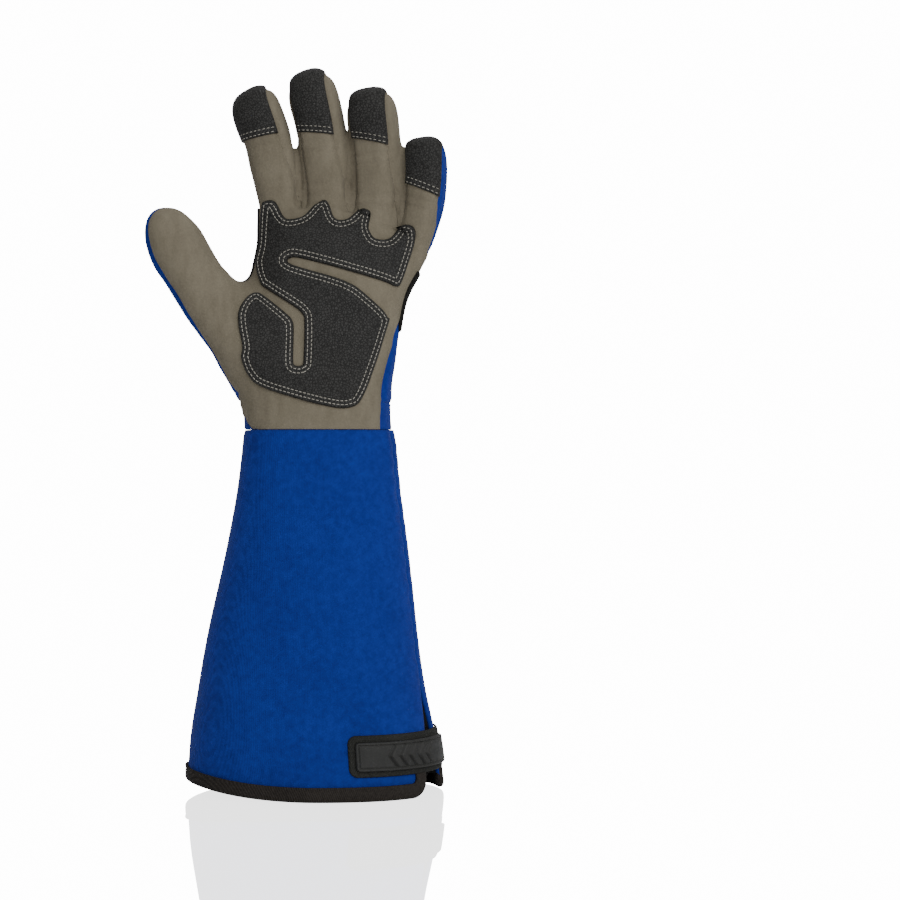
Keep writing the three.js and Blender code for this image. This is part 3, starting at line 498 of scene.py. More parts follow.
@dataclass(frozen=True)
class HandForm:
    """The form of the whole hand: palm, fingers and thumb blended into one surface."""

    palm_blend: float = 7.0
    thumb_blend: float = 15.0
    corner: float = 8.0
    voxel: float = 1.15

    def up(self, points: Array) -> Array:
        """The share of the palm's length at points, with the knuckles' drop undone."""
        up = (points[:, 2] - WRIST) / PALM_LENGTH
        for _ in range(3):
            up = (points[:, 2] - WRIST + self.drop(points[:, 0], HAND_ROWS.read("arch", up))) / PALM_LENGTH
        return up

    def drop(self, x: Array, arch: Array) -> Array:
        """How far the knuckles lie lower at x: a power of the way to the little finger, times arch."""
        return KNUCKLE_DROP * arch * (np.maximum(0.0, x / KNUCKLE_WIDTH - 0.1) / 0.55) ** 1.15

    def palm_distance(self, points: Array) -> Array:
        """Distance to the palm without fingers, closed above its last row."""
        up = self.up(points)
        thumb = HAND_ROWS.read("thumb", up) * KNUCKLE_WIDTH
        little = HAND_ROWS.read("little", up) * KNUCKLE_WIDTH
        palm = HAND_ROWS.read("palm", up)
        deep = np.where(points[:, 1] < 0.0, palm, HAND_ROWS.read("back", up)) * PALM_DEPTH
        sides = rounded_distance(
            points[:, 0] - (little - thumb) / 2.0, points[:, 1], (thumb + little) / 2.0, deep, HAND_POWER)
        return np.maximum(sides, (up - 1.0) * PALM_LENGTH)

    def distance(self, points: Array) -> Array:
        """Distance to the hand's surface, below zero inside."""
        fingers = FINGERS[0].distance(points)
        for finger, rows in zip(FINGERS[1:], FINGER_BLENDS):
            reach = np.interp(points[:, 2] - WRIST, *zip(*rows))
            fingers = blend_min(fingers, finger.distance(points), reach)
        hand = blend_min(self.palm_distance(points), fingers, self.palm_blend)
        return blend_min(hand, THUMB.distance(points), self.thumb_blend)

    def slope(self, points: Array) -> Array:
        """Gradient of the distance, from four places round each point."""
        reach = 0.25
        corners = np.array([(1, -1, -1), (-1, -1, 1), (-1, 1, -1), (1, 1, 1)], float)
        total = sum(corner * self.distance(points + reach * corner)[:, None] for corner in corners)
        return total / (4.0 * reach)

    def settle(self, points: Array, rounds: int = 3) -> Array:
        """Moves points onto the surface by Newton steps along the slope."""
        for _ in range(rounds):
            slope = self.slope(points)
            steepness = np.maximum((slope**2).sum(1), 0.05)
            step = np.clip(self.distance(points) / steepness, -2.0, 2.0)
            points = points - step[:, None] * slope
        return points

    def normals(self, points: Array) -> Array:
        """Outward directions of the surface."""
        return unit(self.slope(points))

    def skin(self) -> Skin:
        """The surface as triangles: the zero level of the distance on a grid, with its points settled."""
        low = np.array([-110.0, -40.0, WRIST - 4.0])
        high = np.array([90.0, 36.0, WRIST + 212.0])
        counts = np.ceil((high - low) / self.voxel).astype(int)
        axes = [low[k] + self.voxel * np.arange(counts[k]) for k in range(3)]
        grid_points = np.stack(np.meshgrid(*axes, indexing="ij"), -1).reshape(-1, 3)
        level = self.distance(grid_points).reshape(counts).astype(np.float32)
        grid = openvdb.FloatGrid(background=FAR)
        grid.copyFromArray(level)
        points, quads = grid.convertToQuads(isovalue=0.0)
        points = self.settle(low + self.voxel * points.astype(float))
        faces = np.concatenate([quads[:, [0, 1, 2]], quads[:, [0, 2, 3]]]).astype(int)
        corners = points[faces]
        volume = (corners[:, 0] * np.cross(corners[:, 1], corners[:, 2])).sum()
        skin = Skin(points, faces if volume > 0.0 else faces[:, ::-1])
        return skin.cut(WRIST - skin.points[:, 2])

    def drape(self, outline: Array, side: Side) -> Array:
        """Lays points of a flat outline on the surface, walking in from the palm's or the back's side.

        Args:
            outline: points as x and z.
            side: the side that they come from.

        Returns:
            Points on the surface.
        """
        points = np.stack([outline[:, 0], np.full(len(outline), side.value * 60.0), outline[:, 1]], 1)
        for _ in range(70):
            points[:, 1] -= side.value * 0.7 * np.clip(self.distance(points), -2.0, 20.0)
        return points

    def seams(self, points: Array) -> dict[str, Array]:
        """How far points lie from each seam, below zero inside the piece that the name says."""
        x, y = points[:, 0], points[:, 1]
        up = self.up(points)
        thumb_edge = SEAM_ROWS.read("thumb", up) * KNUCKLE_WIDTH
        little_edge = SEAM_ROWS.read("little", up) * KNUCKLE_WIDTH
        hand_edge = HAND_ROWS.read("thumb", up) * KNUCKLE_WIDTH
        deep = FINGER_ROOM * PALM_DEPTH
        rear = SEAM_ROWS.read("rear", up) * PALM_DEPTH
        across = np.clip((x + thumb_edge) / (little_edge + thumb_edge), 0.0, 1.0)
        main = np.maximum.reduce([y + deep + (rear - deep) * across, x - little_edge, -x - thumb_edge])
        thenar = np.maximum.reduce([-x - thumb_edge, x + hand_edge - THENAR_INSET * KNUCKLE_WIDTH, y])
        inner = x + hand_edge
        low = points[:, 2] - WRIST
        corner = np.hypot(self.corner - inner, self.corner - low) - self.corner
        corner = np.where((inner < self.corner) & (low < self.corner), corner, -self.corner)
        front = np.maximum(np.minimum(main, thenar), corner)
        strips = {}
        for number, finger in enumerate(FINGERS):
            place = finger.local(points)
            front = np.minimum(front, finger.front_panel(place))
            for direction in (1, -1):
                strips[(number, direction)] = finger.side_strip(place, direction)
        place = THUMB.local(points)
        front = np.minimum(front, np.maximum.reduce([
            np.abs(place.sideways) - place.half_width - PANEL_BEYOND,
            place.back - THUMB_SEAM_SHARE * place.half_depth,
            -place.half_depth - PANEL_BEYOND - place.back,
            -(place.share - PANEL_START) * THUMB.length()]))
        thumb_seam = THUMB_SEAM.read("across", low / PALM_LENGTH) * KNUCKLE_WIDTH
        found = {"front": front, "thumb_side": x - thumb_seam}
        for name, (near, far) in FORKS.items():
            found[name] = np.minimum(strips[(near, 1)], strips[(far, -1)])
        return found


PAD_OUTLINE = (
    (-0.269, 0.998), (-0.215, 0.993), (-0.171, 0.93), (-0.135, 0.911), (-0.063, 0.927), (0.009, 0.984),
    (0.064, 0.996), (0.108, 0.913), (0.173, 0.913), (0.241, 0.96), (0.276, 0.962), (0.301, 0.943),
    (0.288, 0.882), (0.296, 0.851), (0.325, 0.825), (0.398, 0.828), (0.462, 0.885), (0.503, 0.893),
    (0.536, 0.877), (0.543, 0.842), (0.523, 0.775), (0.463, 0.645), (0.433, 0.622), (0.337, 0.648),
    (-0.046, 0.734), (-0.13, 0.741), (-0.124, 0.713), (0.104, 0.657), (0.172, 0.636), (0.237, 0.606),
    (0.351, 0.524), (0.385, 0.488), (0.388, 0.451), (0.267, 0.163), (0.186, 0.093), (0.022, 0.106),
    (-0.267, 0.177), (-0.355, 0.234), (-0.393, 0.309), (-0.387, 0.354), (-0.408, 0.443), (-0.411, 0.501),
    (-0.389, 0.547), (-0.354, 0.579), (-0.315, 0.592), (-0.275, 0.579), (-0.155, 0.5), (-0.121, 0.468),
    (-0.113, 0.428), (-0.116, 0.296), (-0.105, 0.274), (-0.071, 0.275), (-0.062, 0.298), (-0.057, 0.461),
    (-0.072, 0.501), (-0.121, 0.534), (-0.255, 0.606), (-0.293, 0.637), (-0.314, 0.726), (-0.296, 0.815),
    (-0.286, 0.973),
)
FORK_OUTLINE = (
    (-0.4, 0.975), (-0.262, 0.97), (-0.215, 0.92), (-0.205, 0.84), (-0.25, 0.74), (-0.345, 0.59),
    (-0.455, 0.47), (-0.54, 0.45), (-0.62, 0.53), (-0.72, 0.68), (-0.76, 0.78), (-0.735, 0.85),
    (-0.66, 0.86), (-0.6, 0.84), (-0.5, 0.95),
)
PAD_START = 2.0
FORK_START = 5.4
FORK_SLANT = 0.2
BAND_START = 8.0
BAND_OUTLINE = (
    (0.8, 0.62), (0.52, 0.705), (0.18, 0.79), (-0.12, 0.86), (-0.33, 0.89), (-0.42, 0.64), (-0.35, 0.605),
    (-0.05, 0.55), (0.25, 0.485), (0.48, 0.425), (0.8, 0.36),
)


@dataclass(frozen=True)
class Outline:
    """A closed outline seen from the palm, in shares of KNUCKLE_WIDTH across and of PALM_LENGTH up."""

    corners: tuple[tuple[float, float], ...]
    smooth: bool = True
    steps: int = 8
    batch: int = 4000

    def path(self) -> Array:
        """The outline as x and z in millimetres.

        A smooth outline is a cubic between corners b and c with slopes (c - a) / 2 and (d - b) / 2.
        """
        knots = np.array(self.corners) * (KNUCKLE_WIDTH, PALM_LENGTH) + (0.0, WRIST)
        share = (np.arange(self.steps) / self.steps)[:, None]
        a, b, c, d = (np.roll(knots, turn, axis=0)[:, None, :] for turn in (1, 0, -1, -2))
        if not self.smooth:
            return (b + (c - b) * share).reshape(-1, 2)
        bend = 2 * a - 5 * b + 4 * c - d + share * (3 * b - a - 3 * c + d)
        return (b + 0.5 * share * (c - a + share * bend)).reshape(-1, 2)

    def inside(self, points: Array) -> Array:
        """How far points lie inside the outline, below zero outside, seen along Y.

        The size is the distance to the nearest stretch of the path. A point is inside if a ray along X
        crosses the path an odd number of times.
        """
        path = self.path()
        following = np.roll(path, -1, axis=0)
        chord = following - path
        length = np.maximum((chord**2).sum(1), 1e-9)
        result = np.empty(len(points))
        for start in range(0, len(points), self.batch):
            place = points[start:start + self.batch][:, [0, 2]][:, None, :]
            away = place - path
            share = np.clip((away * chord).sum(2) / length, 0.0, 1.0)
            nearest = np.sqrt(((away - share[..., None] * chord) ** 2).sum(2).min(1))
            above = path[:, 1] > place[..., 1]
            crosses = above != (following[:, 1] > place[..., 1])
            rise = np.where(np.abs(chord[:, 1]) < 1e-9, 1e-9, chord[:, 1])
            meeting = path[:, 0] + chord[:, 0] * (place[..., 1] - path[:, 1]) / rise
            odd = (crosses & (place[..., 0] < meeting)).sum(1) % 2 == 1
            result[start:start + self.batch] = np.where(odd, nearest, -nearest)
        return result

    def inset(self, depth: float) -> Array:
        """The path moved inwards by a depth, without the points that would come nearer another stretch."""
        path = self.path()
        tangent = unit(np.roll(path, -1, axis=0) - np.roll(path, 1, axis=0))
        after = np.roll(path, -1, axis=0)
        area = (path[:, 0] * after[:, 1] - after[:, 0] * path[:, 1]).sum()
        inward = np.stack([-tangent[:, 1], tangent[:, 0]], 1) * np.sign(area)
        moved = path + depth * inward
        solid = np.stack([moved[:, 0], np.zeros(len(moved)), moved[:, 1]], 1)
        return moved[self.inside(solid) > depth - 0.15]


def new_object(name: str, data: bpy.types.ID) -> Object:
    """Makes an object of some data and puts it in the scene."""
    piece = bpy.data.objects.new(name, data)
    bpy.context.scene.collection.objects.link(piece)
    return piece


def add_object(name: str, points: Array, faces: Array, body: str = "root") -> Object:
    """Makes a smooth-shaded mesh object from points in millimetres.

    Args:
        name: the object's name.
        points: one row for each point.
        faces: one row of point numbers for each face.
        body: the body that it moves with.

    Returns:
        The object, at the origin.
    """
    mesh = bpy.data.meshes.new(name)
    mesh.vertices.add(len(points))
    mesh.vertices.foreach_set("co", (points * MM).astype(np.float32).ravel())
    corners = faces.shape[1]
    mesh.loops.add(faces.size)
    mesh.loops.foreach_set("vertex_index", faces.astype(np.int32).ravel())
    mesh.polygons.add(len(faces))
    mesh.polygons.foreach_set("loop_start", np.arange(0, faces.size, corners, dtype=np.int32))
    mesh.update(calc_edges=True)
    mesh.validate()
    mesh.shade_smooth()
    piece = new_object(name, mesh)
    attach(piece, body)
    return piece


def thicken(piece: Object, thickness: float) -> None:
    """Gives a sheet its wall, inwards from the surface."""
    wall = piece.modifiers.new("wall", "SOLIDIFY")
    wall.thickness = thickness * MM
    wall.offset = -1.0
    wall.use_even_offset = False


def dress(piece: Object, finish: Material, slot: str, *nodes: str) -> Object:
    """Gives a piece its finish, and lets it stand for nodes of the model."""
    piece.data.materials.clear()
    piece.data.materials.append(finish)
    if nodes:
        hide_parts(*nodes)
    log.info("%s: %d faces", piece.name, len(piece.data.polygons))
    return piece


def walk(path: Array, pitch: float, closed: bool) -> tuple[Array, Array]:
    """Places at an even pitch along a path, and the path's direction there."""
    if closed:
        path = np.concatenate([path, path[:1]])
    reach = np.concatenate([[0.0], np.cumsum(np.linalg.norm(np.diff(path, axis=0), axis=1))])
    count = max(1, int(reach[-1] / pitch))
    places = (np.arange(count) + 0.5) * reach[-1] / count

    def at(distance: Array) -> Array:
        return np.stack([np.interp(distance, reach, path[:, k]) for k in range(path.shape[1])], 1)

    return at(places), unit(at(places + 0.4) - at(places - 0.4))


@dataclass(frozen=True)
class Thread:
    """A row of stitches: short lengths of thread that dip into the cloth at both ends."""

    pitch: float = 2.35
    length: float = 1.9
    radius: float = 0.27
    sides: int = 4

    def mesh(self, centres: Array, directions: Array, normals: Array) -> tuple[Array, Array]:
        """All stitches of some rows as one mesh.

        A stitch is a tube of four rings along its direction. The end rings are narrower and lie lower.
        """
        across = unit(np.cross(normals, directions))
        normals = np.cross(directions, across)
        along = np.array([-0.5, -0.34, 0.34, 0.5]) * self.length
        width = np.array([0.45, 1.0, 1.0, 0.45]) * self.radius
        lift = np.array([-0.9, 0.25, 0.25, -0.9]) * self.radius
        turn = 2.0 * np.pi * np.arange(self.sides) / self.sides
        ring_across = width[:, None] * np.cos(turn)
        ring_up = width[:, None] * np.sin(turn) + lift[:, None]
        points = (centres[:, None, None, :]
                  + along[:, None, None] * directions[:, None, None, :]
                  + ring_across[..., None] * across[:, None, None, :]
                  + ring_up[..., None] * normals[:, None, None, :])
        ring = np.arange(self.sides)
        after = (ring + 1) % self.sides
        rings = np.arange(3)[:, None] * self.sides
        low = [rings + ring, rings + after]
        tube = np.stack([*low, low[1] + self.sides, low[0] + self.sides], -1)
        start = np.array([[3, 2, 1, 0]])
        end = np.array([[0, 1, 2, 3]]) + 3 * self.sides
        faces = np.concatenate([tube.reshape(-1, 4), start, end])
        offsets = np.arange(len(centres))[:, None, None] * 4 * self.sides
        return points.reshape(-1, 3), (faces + offsets).reshape(-1, 4)


@dataclass
class Hand:
    """The cut and sewn panels of the hand, from one surface that its seams divide."""

    form: HandForm
    seam_depth: float = 1.25
    seam_width: float = 1.5
    gathers: int = 12
    gather_depth: float = 1.5
    gather_start: float = 9.0
    gather_fade: float = 17.0
    crease_depth: float = 0.45
    crease_width: float = 1.7
    crease_spots: tuple[float, ...] = (0.3, 0.37, 0.57, 0.63)
    hem_height: float = 15.5
    hem_depth: float = 0.4
    wall: float = 1.6
    skin: Skin | None = None

    def undulation(self, points: Array) -> Array:
        """Slow, shallow swells of the worn cloth: three crossed sines of 20 to 45 mm."""
        x, y, z = points.T
        swell = np.sin(0.17 * x + 0.11 * z + 0.6) * np.sin(0.14 * z - 0.07 * x) * 0.28
        swell += np.sin(0.29 * x - 0.21 * z + 1.9) * np.sin(0.23 * y + 0.1 * z) * 0.16
        return swell

    def gathering(self, points: Array) -> Array:
        """Gathers over the back of the wrist: a sine round the wrist that fades towards the knuckles."""
        angle = np.arctan2(points[:, 1], points[:, 0] - 2.2)
        height = points[:, 2] - WRIST
        wander = 0.5 * np.sin(3.0 * angle + 0.7) + 0.035 * height * np.sin(5.0 * angle)
        folds = 0.5 + 0.5 * np.cos(2.0 * self.gathers * angle + wander)
        above = np.maximum(height - self.gather_start, 0.0)
        strength = smooth_step(0.0, 0.5, np.sin(angle)) * bell(above, self.gather_fade)
        return self.gather_depth * strength * (folds**1.4 - 0.35)

    def creases(self, points: Array) -> Array:
        """Shallow creases across the fronts of the fingers, where they bend."""
        relief = np.zeros(len(points))
        for number, finger in enumerate(FINGERS + (THUMB,)):
            place = finger.local(points)
            near = np.abs(finger.distance(points)) < 2.0
            front = smooth_step(0.2, 0.8, -place.back / place.half_depth)
            tilt = 0.012 * place.sideways * (1.0 if number % 2 else -1.0)
            for spot in self.crease_spots:
                off = (place.share - spot + 0.012 * number) * finger.length() + tilt * 6.0
                crease = self.crease_depth * front * bell(off, self.crease_width)
                relief -= np.where(near, crease, 0.0)
        return relief

    def sew(self) -> None:
        """Makes the surface once, with its seams' distances and its outward directions."""
        skin = self.form.skin()
        skin.values = self.form.seams(skin.points)
        skin.values["normal"] = self.form.normals(skin.points)
        self.skin = skin

    def puffed(self, part: Skin) -> Array:
        """Points of a panel with its seams drawn in, its gathers, creases and swells."""
        band_top = WRIST + WRIST_BAND_HEIGHT
        seams = [np.abs(part.values["front"]), part.points[:, 2] - WRIST + 1.3]
        roots = np.array([finger.root for finger in FINGERS])
        above_root = part.points[:, 2] - WRIST - np.interp(part.points[:, 0], roots[:, 0], roots[:, 2])
        fading = 10.0 * (1.0 - smooth_step(4.0, 20.0, above_root))
        seams += [np.abs(part.values[name]) + fading for name in FORKS]
        behind = part.values["front"] > -0.01
        seams.append(np.where(behind, np.abs(part.values["thumb_side"]), 50.0))
        seams.append(np.where(behind, np.abs(part.points[:, 2] - band_top), 50.0))
        nearest = np.minimum.reduce(seams)
        relief = -self.seam_depth * bell(nearest, self.seam_width)
        relief += self.undulation(part.points) + self.creases(part.points)
        relief += np.where(behind, self.gathering(part.points), 0.0)
        to_hem = part.points[:, 2] - WRIST - self.hem_height
        relief -= np.where(behind, 0.0, self.hem_depth * bell(to_hem, 1.3))
        return part.points + relief[:, None] * part.values["normal"]

    def panel(self, name: str, part: Skin) -> Object:
        """One panel as a piece with its wall."""
        part = part.largest()
        piece = add_object(name, self.puffed(part), part.faces)
        thicken(piece, self.wall)
        return piece

    def build(self, finishes: "Finishes") -> None:
        """Cuts the surface along its seams and dresses each panel."""
        self.sew()
        rest = self.skin
        for name in FORKS:
            fork = rest.cut(rest.values[name])
            rest = rest.cut(-rest.values[name])
            dress(self.panel(name + "_knit", fork), finishes.grey, "panel_grey", name)
        palm = rest.cut(rest.values["front"])
        dress(self.panel("palm_leather", palm), finishes.grey, "panel_grey", "palm_panel")
        back = rest.cut(-rest.values["front"])
        band_top = WRIST + WRIST_BAND_HEIGHT
        band = back.cut(back.points[:, 2] - band_top)
        dress(self.panel("wrist_elastic", band), finishes.blue, "cloth_blue", "wrist_band")
        back = back.cut(band_top - back.points[:, 2])
        thumb = back.cut(back.values["thumb_side"])
        dress(self.panel("thumb_cloth", thumb), finishes.blue, "cloth_blue", "thumb_back")
        back = back.cut(-back.values["thumb_side"])
        dress(self.panel("back_cloth", back), finishes.blue, "cloth_blue", "back_panel")


@dataclass
class Patches:
    """The black reinforcements that are sewn on the panels, with their rows of stitches."""

    hand: Hand
    thread: Thread = field(default_factory=Thread)
    rows: tuple[float, ...] = (1.9, 4.1)
    cap_rows: tuple[float, ...] = (1.3, 3.7)
    pad_thickness: float = 1.9
    fork_thickness: float = 1.1
    band_thickness: float = 0.9
    cap_thickness: float = 1.0
    cap_stitch_height: float = 1.1
    index_thickness: float = 1.1
    index_rows: tuple[float, ...] = (1.5, 3.4)
    index_corner: float = 3.0
    edge: float = 1.3
    lift: float = 0.25
    row_depth: float = 0.22
    row_width: float = 0.55
    margin: float = 3.0
    index_below: float = 50.0
    index_above: float = 20.0
    index_inner: float = -0.22
    index_outer: float = 0.74
    stitches: list[tuple[Array, Array, Array]] = field(default_factory=list)

    def lay(self, name: str, region: Callable[[Array], Array], thickness: float,
            rows: Sequence[float]) -> Object:
        """Lays a patch on the surface where region is above zero.

        Its height over the panel is a quarter circle over the edge's width, less a dip along each row.

        Args:
            name: the piece's name.
            region: gives how far inside the patch's edge points lie, in millimetres.
            thickness: the patch's thickness.
            rows: how far inside the edge the rows of stitches lie.

        Returns:
            The piece.
        """
        skin = self.hand.skin
        near = region(skin.points) > -self.margin
        part = skin.compact(skin.faces[near[skin.faces].all(1)])
        if rows or thickness == self.cap_thickness:
            part = part.divided()
            part.points = self.hand.form.settle(part.points, 1)
        inside = region(part.points)
        part.values = {"normal": self.hand.form.normals(part.points), "inside": inside}
        part = part.cut(-inside).largest()
        inside = part.values["inside"]
        height = self.lift + thickness * rounded_edge(inside, self.edge)
        for row in rows:
            height -= self.row_depth * bell(inside - row, self.row_width)
        height += self.hand.undulation(part.points)
        piece = add_object(name, part.points + height[:, None] * unit(part.values["normal"]), part.faces)
        thicken(piece, thickness)
        return piece

    def sew_row(self, path: Array, side: Side, height: float, limit: Callable[[Array], Array]) -> None:
        """Adds a row of stitches along a flat path laid on the surface, where limit is above zero.

        Args:
            path: the row as x and z.
            side: the side that it is laid on from.
            height: how far the thread lies over the panel.
            limit: gives how far inside the patch's own bounds points lie.
        """
        laid = self.hand.form.drape(path, side)
        good = (limit(laid) > 0.4) & (np.abs(self.hand.form.distance(laid)) < 0.5)
        if good.all():
            self.sew_run(laid, height, True)
            return
        turned = np.argmin(good)
        laid, good = np.roll(laid, -turned, axis=0), np.roll(good, -turned)
        changes = np.flatnonzero(np.diff(good.astype(int), append=0)) + 1
        for start, end in zip(changes[::2], changes[1::2]):
            if end - start > 3:
                self.sew_run(laid[start:end], height, False)

    def sew_run(self, laid: Array, height: float, closed: bool) -> None:
        """Adds stitches at an even pitch along points on the surface."""
        centres, directions = walk(laid, self.thread.pitch, closed)
        centres = self.hand.form.settle(centres, 2)
        normals = self.hand.form.normals(centres)
        lift = height + self.hand.undulation(centres)
        self.stitches.append((centres + lift[:, None] * normals, directions, normals))

    def outlined(self, name: str, node: str, outline: Outline, side: Side, thickness: float,
                 limit: Callable[[Array], Array], finishes: "Finishes", stitched: bool = True) -> None:
        """Makes a patch from a flat outline, with its rows of stitches all round."""
        rows = self.rows if stitched else ()

        def region(points: Array) -> Array:
            return np.minimum(outline.inside(points), limit(points))

        piece = self.lay(name, region, thickness, rows)
        finish = finishes.leather if stitched else finishes.band
        dress(piece, finish, "leather_black" if stitched else "band_black", node)
        for row in rows:
            self.sew_row(outline.inset(row), side, self.lift + thickness - self.row_depth, limit)

    def cap(self, finger: Finger, finishes: "Finishes") -> None:
        """Makes the cap on a finger's end: its front above a sloping line, with two rows along that line."""
        tip = finger.ends()[2]
        steep = math.hypot(1.0, finger.cap_slope)

        def above(points: Array) -> Array:
            line = tip[2] - finger.cap + finger.cap_slope * (points[:, 0] - tip[0])
            return (points[:, 2] - line) / steep

        def region(points: Array) -> Array:
            return np.minimum(above(points), -finger.front_panel(finger.local(points)) - GAP)

        piece = self.lay(f"{finger.name}_cap_leather", region, self.cap_thickness, ())
        dress(piece, finishes.leather, "leather_black", f"{finger.name}_cap")
        for row in self.cap_rows:
            across = np.linspace(-finger.width * 0.55, finger.width * 0.55, 60)
            height = tip[2] - finger.cap + finger.cap_slope * across + row * steep
            laid = self.hand.form.drape(np.stack([tip[0] + across, height], 1), Side.PALM)
            self.sew_run(laid[-finger.front_panel(finger.local(laid)) > 1.0], self.cap_stitch_height, False)

    def index_region(self, points: Array) -> Array:
        """The patch on the index finger's back: how far inside its rounded rectangle points lie."""
        index = FINGERS[0]
        place = index.local(points)
        half_across = (self.index_outer - self.index_inner) / 2.0 * index.width / 2.0
        half_along = (self.index_below - self.index_above) / 2.0
        across = place.sideways - (self.index_outer + self.index_inner) / 2.0 * index.width / 2.0
        below = index.dome_share * index.width - place.along - (self.index_below + self.index_above) / 2.0
        corner = self.index_corner
        far = np.stack([np.abs(across) - half_across + corner, np.abs(below) - half_along + corner], 1)
        inside = corner - np.linalg.norm(np.maximum(far, 0.0), axis=1) - np.minimum(far.max(1), 0.0)
        return np.minimum(inside, place.back)

    def build(self, finishes: "Finishes") -> None:
        """Makes all patches and joins their stitches into one piece of thread."""
        fork = Outline(FORK_OUTLINE)

        def pad_limit(points: Array) -> Array:
            return -PAD_START - points[:, 1]

        def fork_limit(points: Array) -> Array:
            return points[:, 1] - FORK_START - FORK_SLANT * points[:, 0]

        def band_limit(points: Array) -> Array:
            return np.minimum(points[:, 1] + BAND_START, -fork.inside(points) - GAP)

        self.outlined("palm_pad_leather", "palm_pad", Outline(PAD_OUTLINE), Side.PALM,
                      self.pad_thickness, pad_limit, finishes)
        self.outlined("thumb_crotch_leather", "thumb_crotch_patch", fork, Side.BACK,
                      self.fork_thickness, fork_limit, finishes)
        self.outlined("knuckle_band_cloth", "knuckle_band", Outline(BAND_OUTLINE, False), Side.BACK,
                      self.band_thickness, band_limit, finishes, False)
        for finger in FINGERS:
            self.cap(finger, finishes)
        piece = self.lay("index_patch_leather", self.index_region, self.index_thickness, self.index_rows)
        dress(piece, finishes.leather, "leather_black", "index_patch")
        centres, directions, normals = (np.concatenate(part) for part in zip(*self.stitches))
        points, faces = self.thread.mesh(centres, directions, normals)
        dress(add_object("patch_stitches", points, faces), finishes.thread, "leather_black")


def cuff_point(height: Array, angle: Array, offset: Array | float) -> Array:
    """Points of the cuff grown by an offset.

    Each section is rounded, and its half widths and depth go from the wrist's to the mouth's by CUFF_ROWS.
    The thumb's side is lifted by HEM_LIFT at the mouth, less towards the wrist.
    """
    up = height / CUFF_LENGTH
    wrist_thumb = HAND_ROWS.rows[0][1] * KNUCKLE_WIDTH
    wrist_little = HAND_ROWS.rows[0][2] * KNUCKLE_WIDTH
    thumb = wrist_thumb + (CUFF_MOUTH_WIDTH / 2.0 - wrist_thumb) * CUFF_ROWS.read("thumb", up)
    little = wrist_little + (CUFF_MOUTH_WIDTH / 2.0 - wrist_little) * CUFF_ROWS.read("little", up)
    share = CUFF_ROWS.read("depth", up)
    depth = (WRIST_DEPTH + (CUFF_MOUTH_DEPTH - WRIST_DEPTH) * share) / 2.0
    power = HAND_POWER + (CUFF_POWER - HAND_POWER) * np.minimum(1.0, 2.0 * share)
    across, through = rounded_unit(angle, power)
    lift = HEM_LIFT * np.maximum(0.0, -across) ** 2 * (1.0 - np.minimum(1.0, up))
    x = (little - thumb) / 2.0 + across * ((thumb + little) / 2.0 + offset)
    return np.stack(np.broadcast_arrays(x, through * (depth + offset), height + lift), -1)


def arc_per_radian(angle: Array) -> Array:
    """How many millimetres of the hem one radian covers at an angle."""
    level = np.full_like(angle, HEM)
    step = 0.01
    chord = cuff_point(level, angle + step, 0.0) - cuff_point(level, angle, 0.0)
    return np.linalg.norm(chord, axis=-1) / step


def vent_arc() -> float:
    """How many millimetres of the hem one radian covers at the vent."""
    return float(arc_per_radian(np.array(VENT_ANGLE)))


def vent_half_angle(height: Array) -> Array:
    """The vent's half angle: widest at the hem, closed at its apex."""
    half = VENT_WIDTH / 2.0 / vent_arc()
    return half * np.clip(1.0 - (height - HEM) / VENT_HEIGHT, 0.0, 1.0)


def grid_faces(rows: int, columns: int, closed: bool = False) -> Array:
    """Quads of a grid of points, row by row, joined round from the last column to the first if closed."""
    numbers = np.arange(rows * columns).reshape(rows, columns)
    if closed:
        numbers = np.concatenate([numbers, numbers[:, :1]], 1)
    quads = [numbers[:-1, :-1], numbers[:-1, 1:], numbers[1:, 1:], numbers[1:, :-1]]
    return np.stack(quads, -1).reshape(-1, 4)


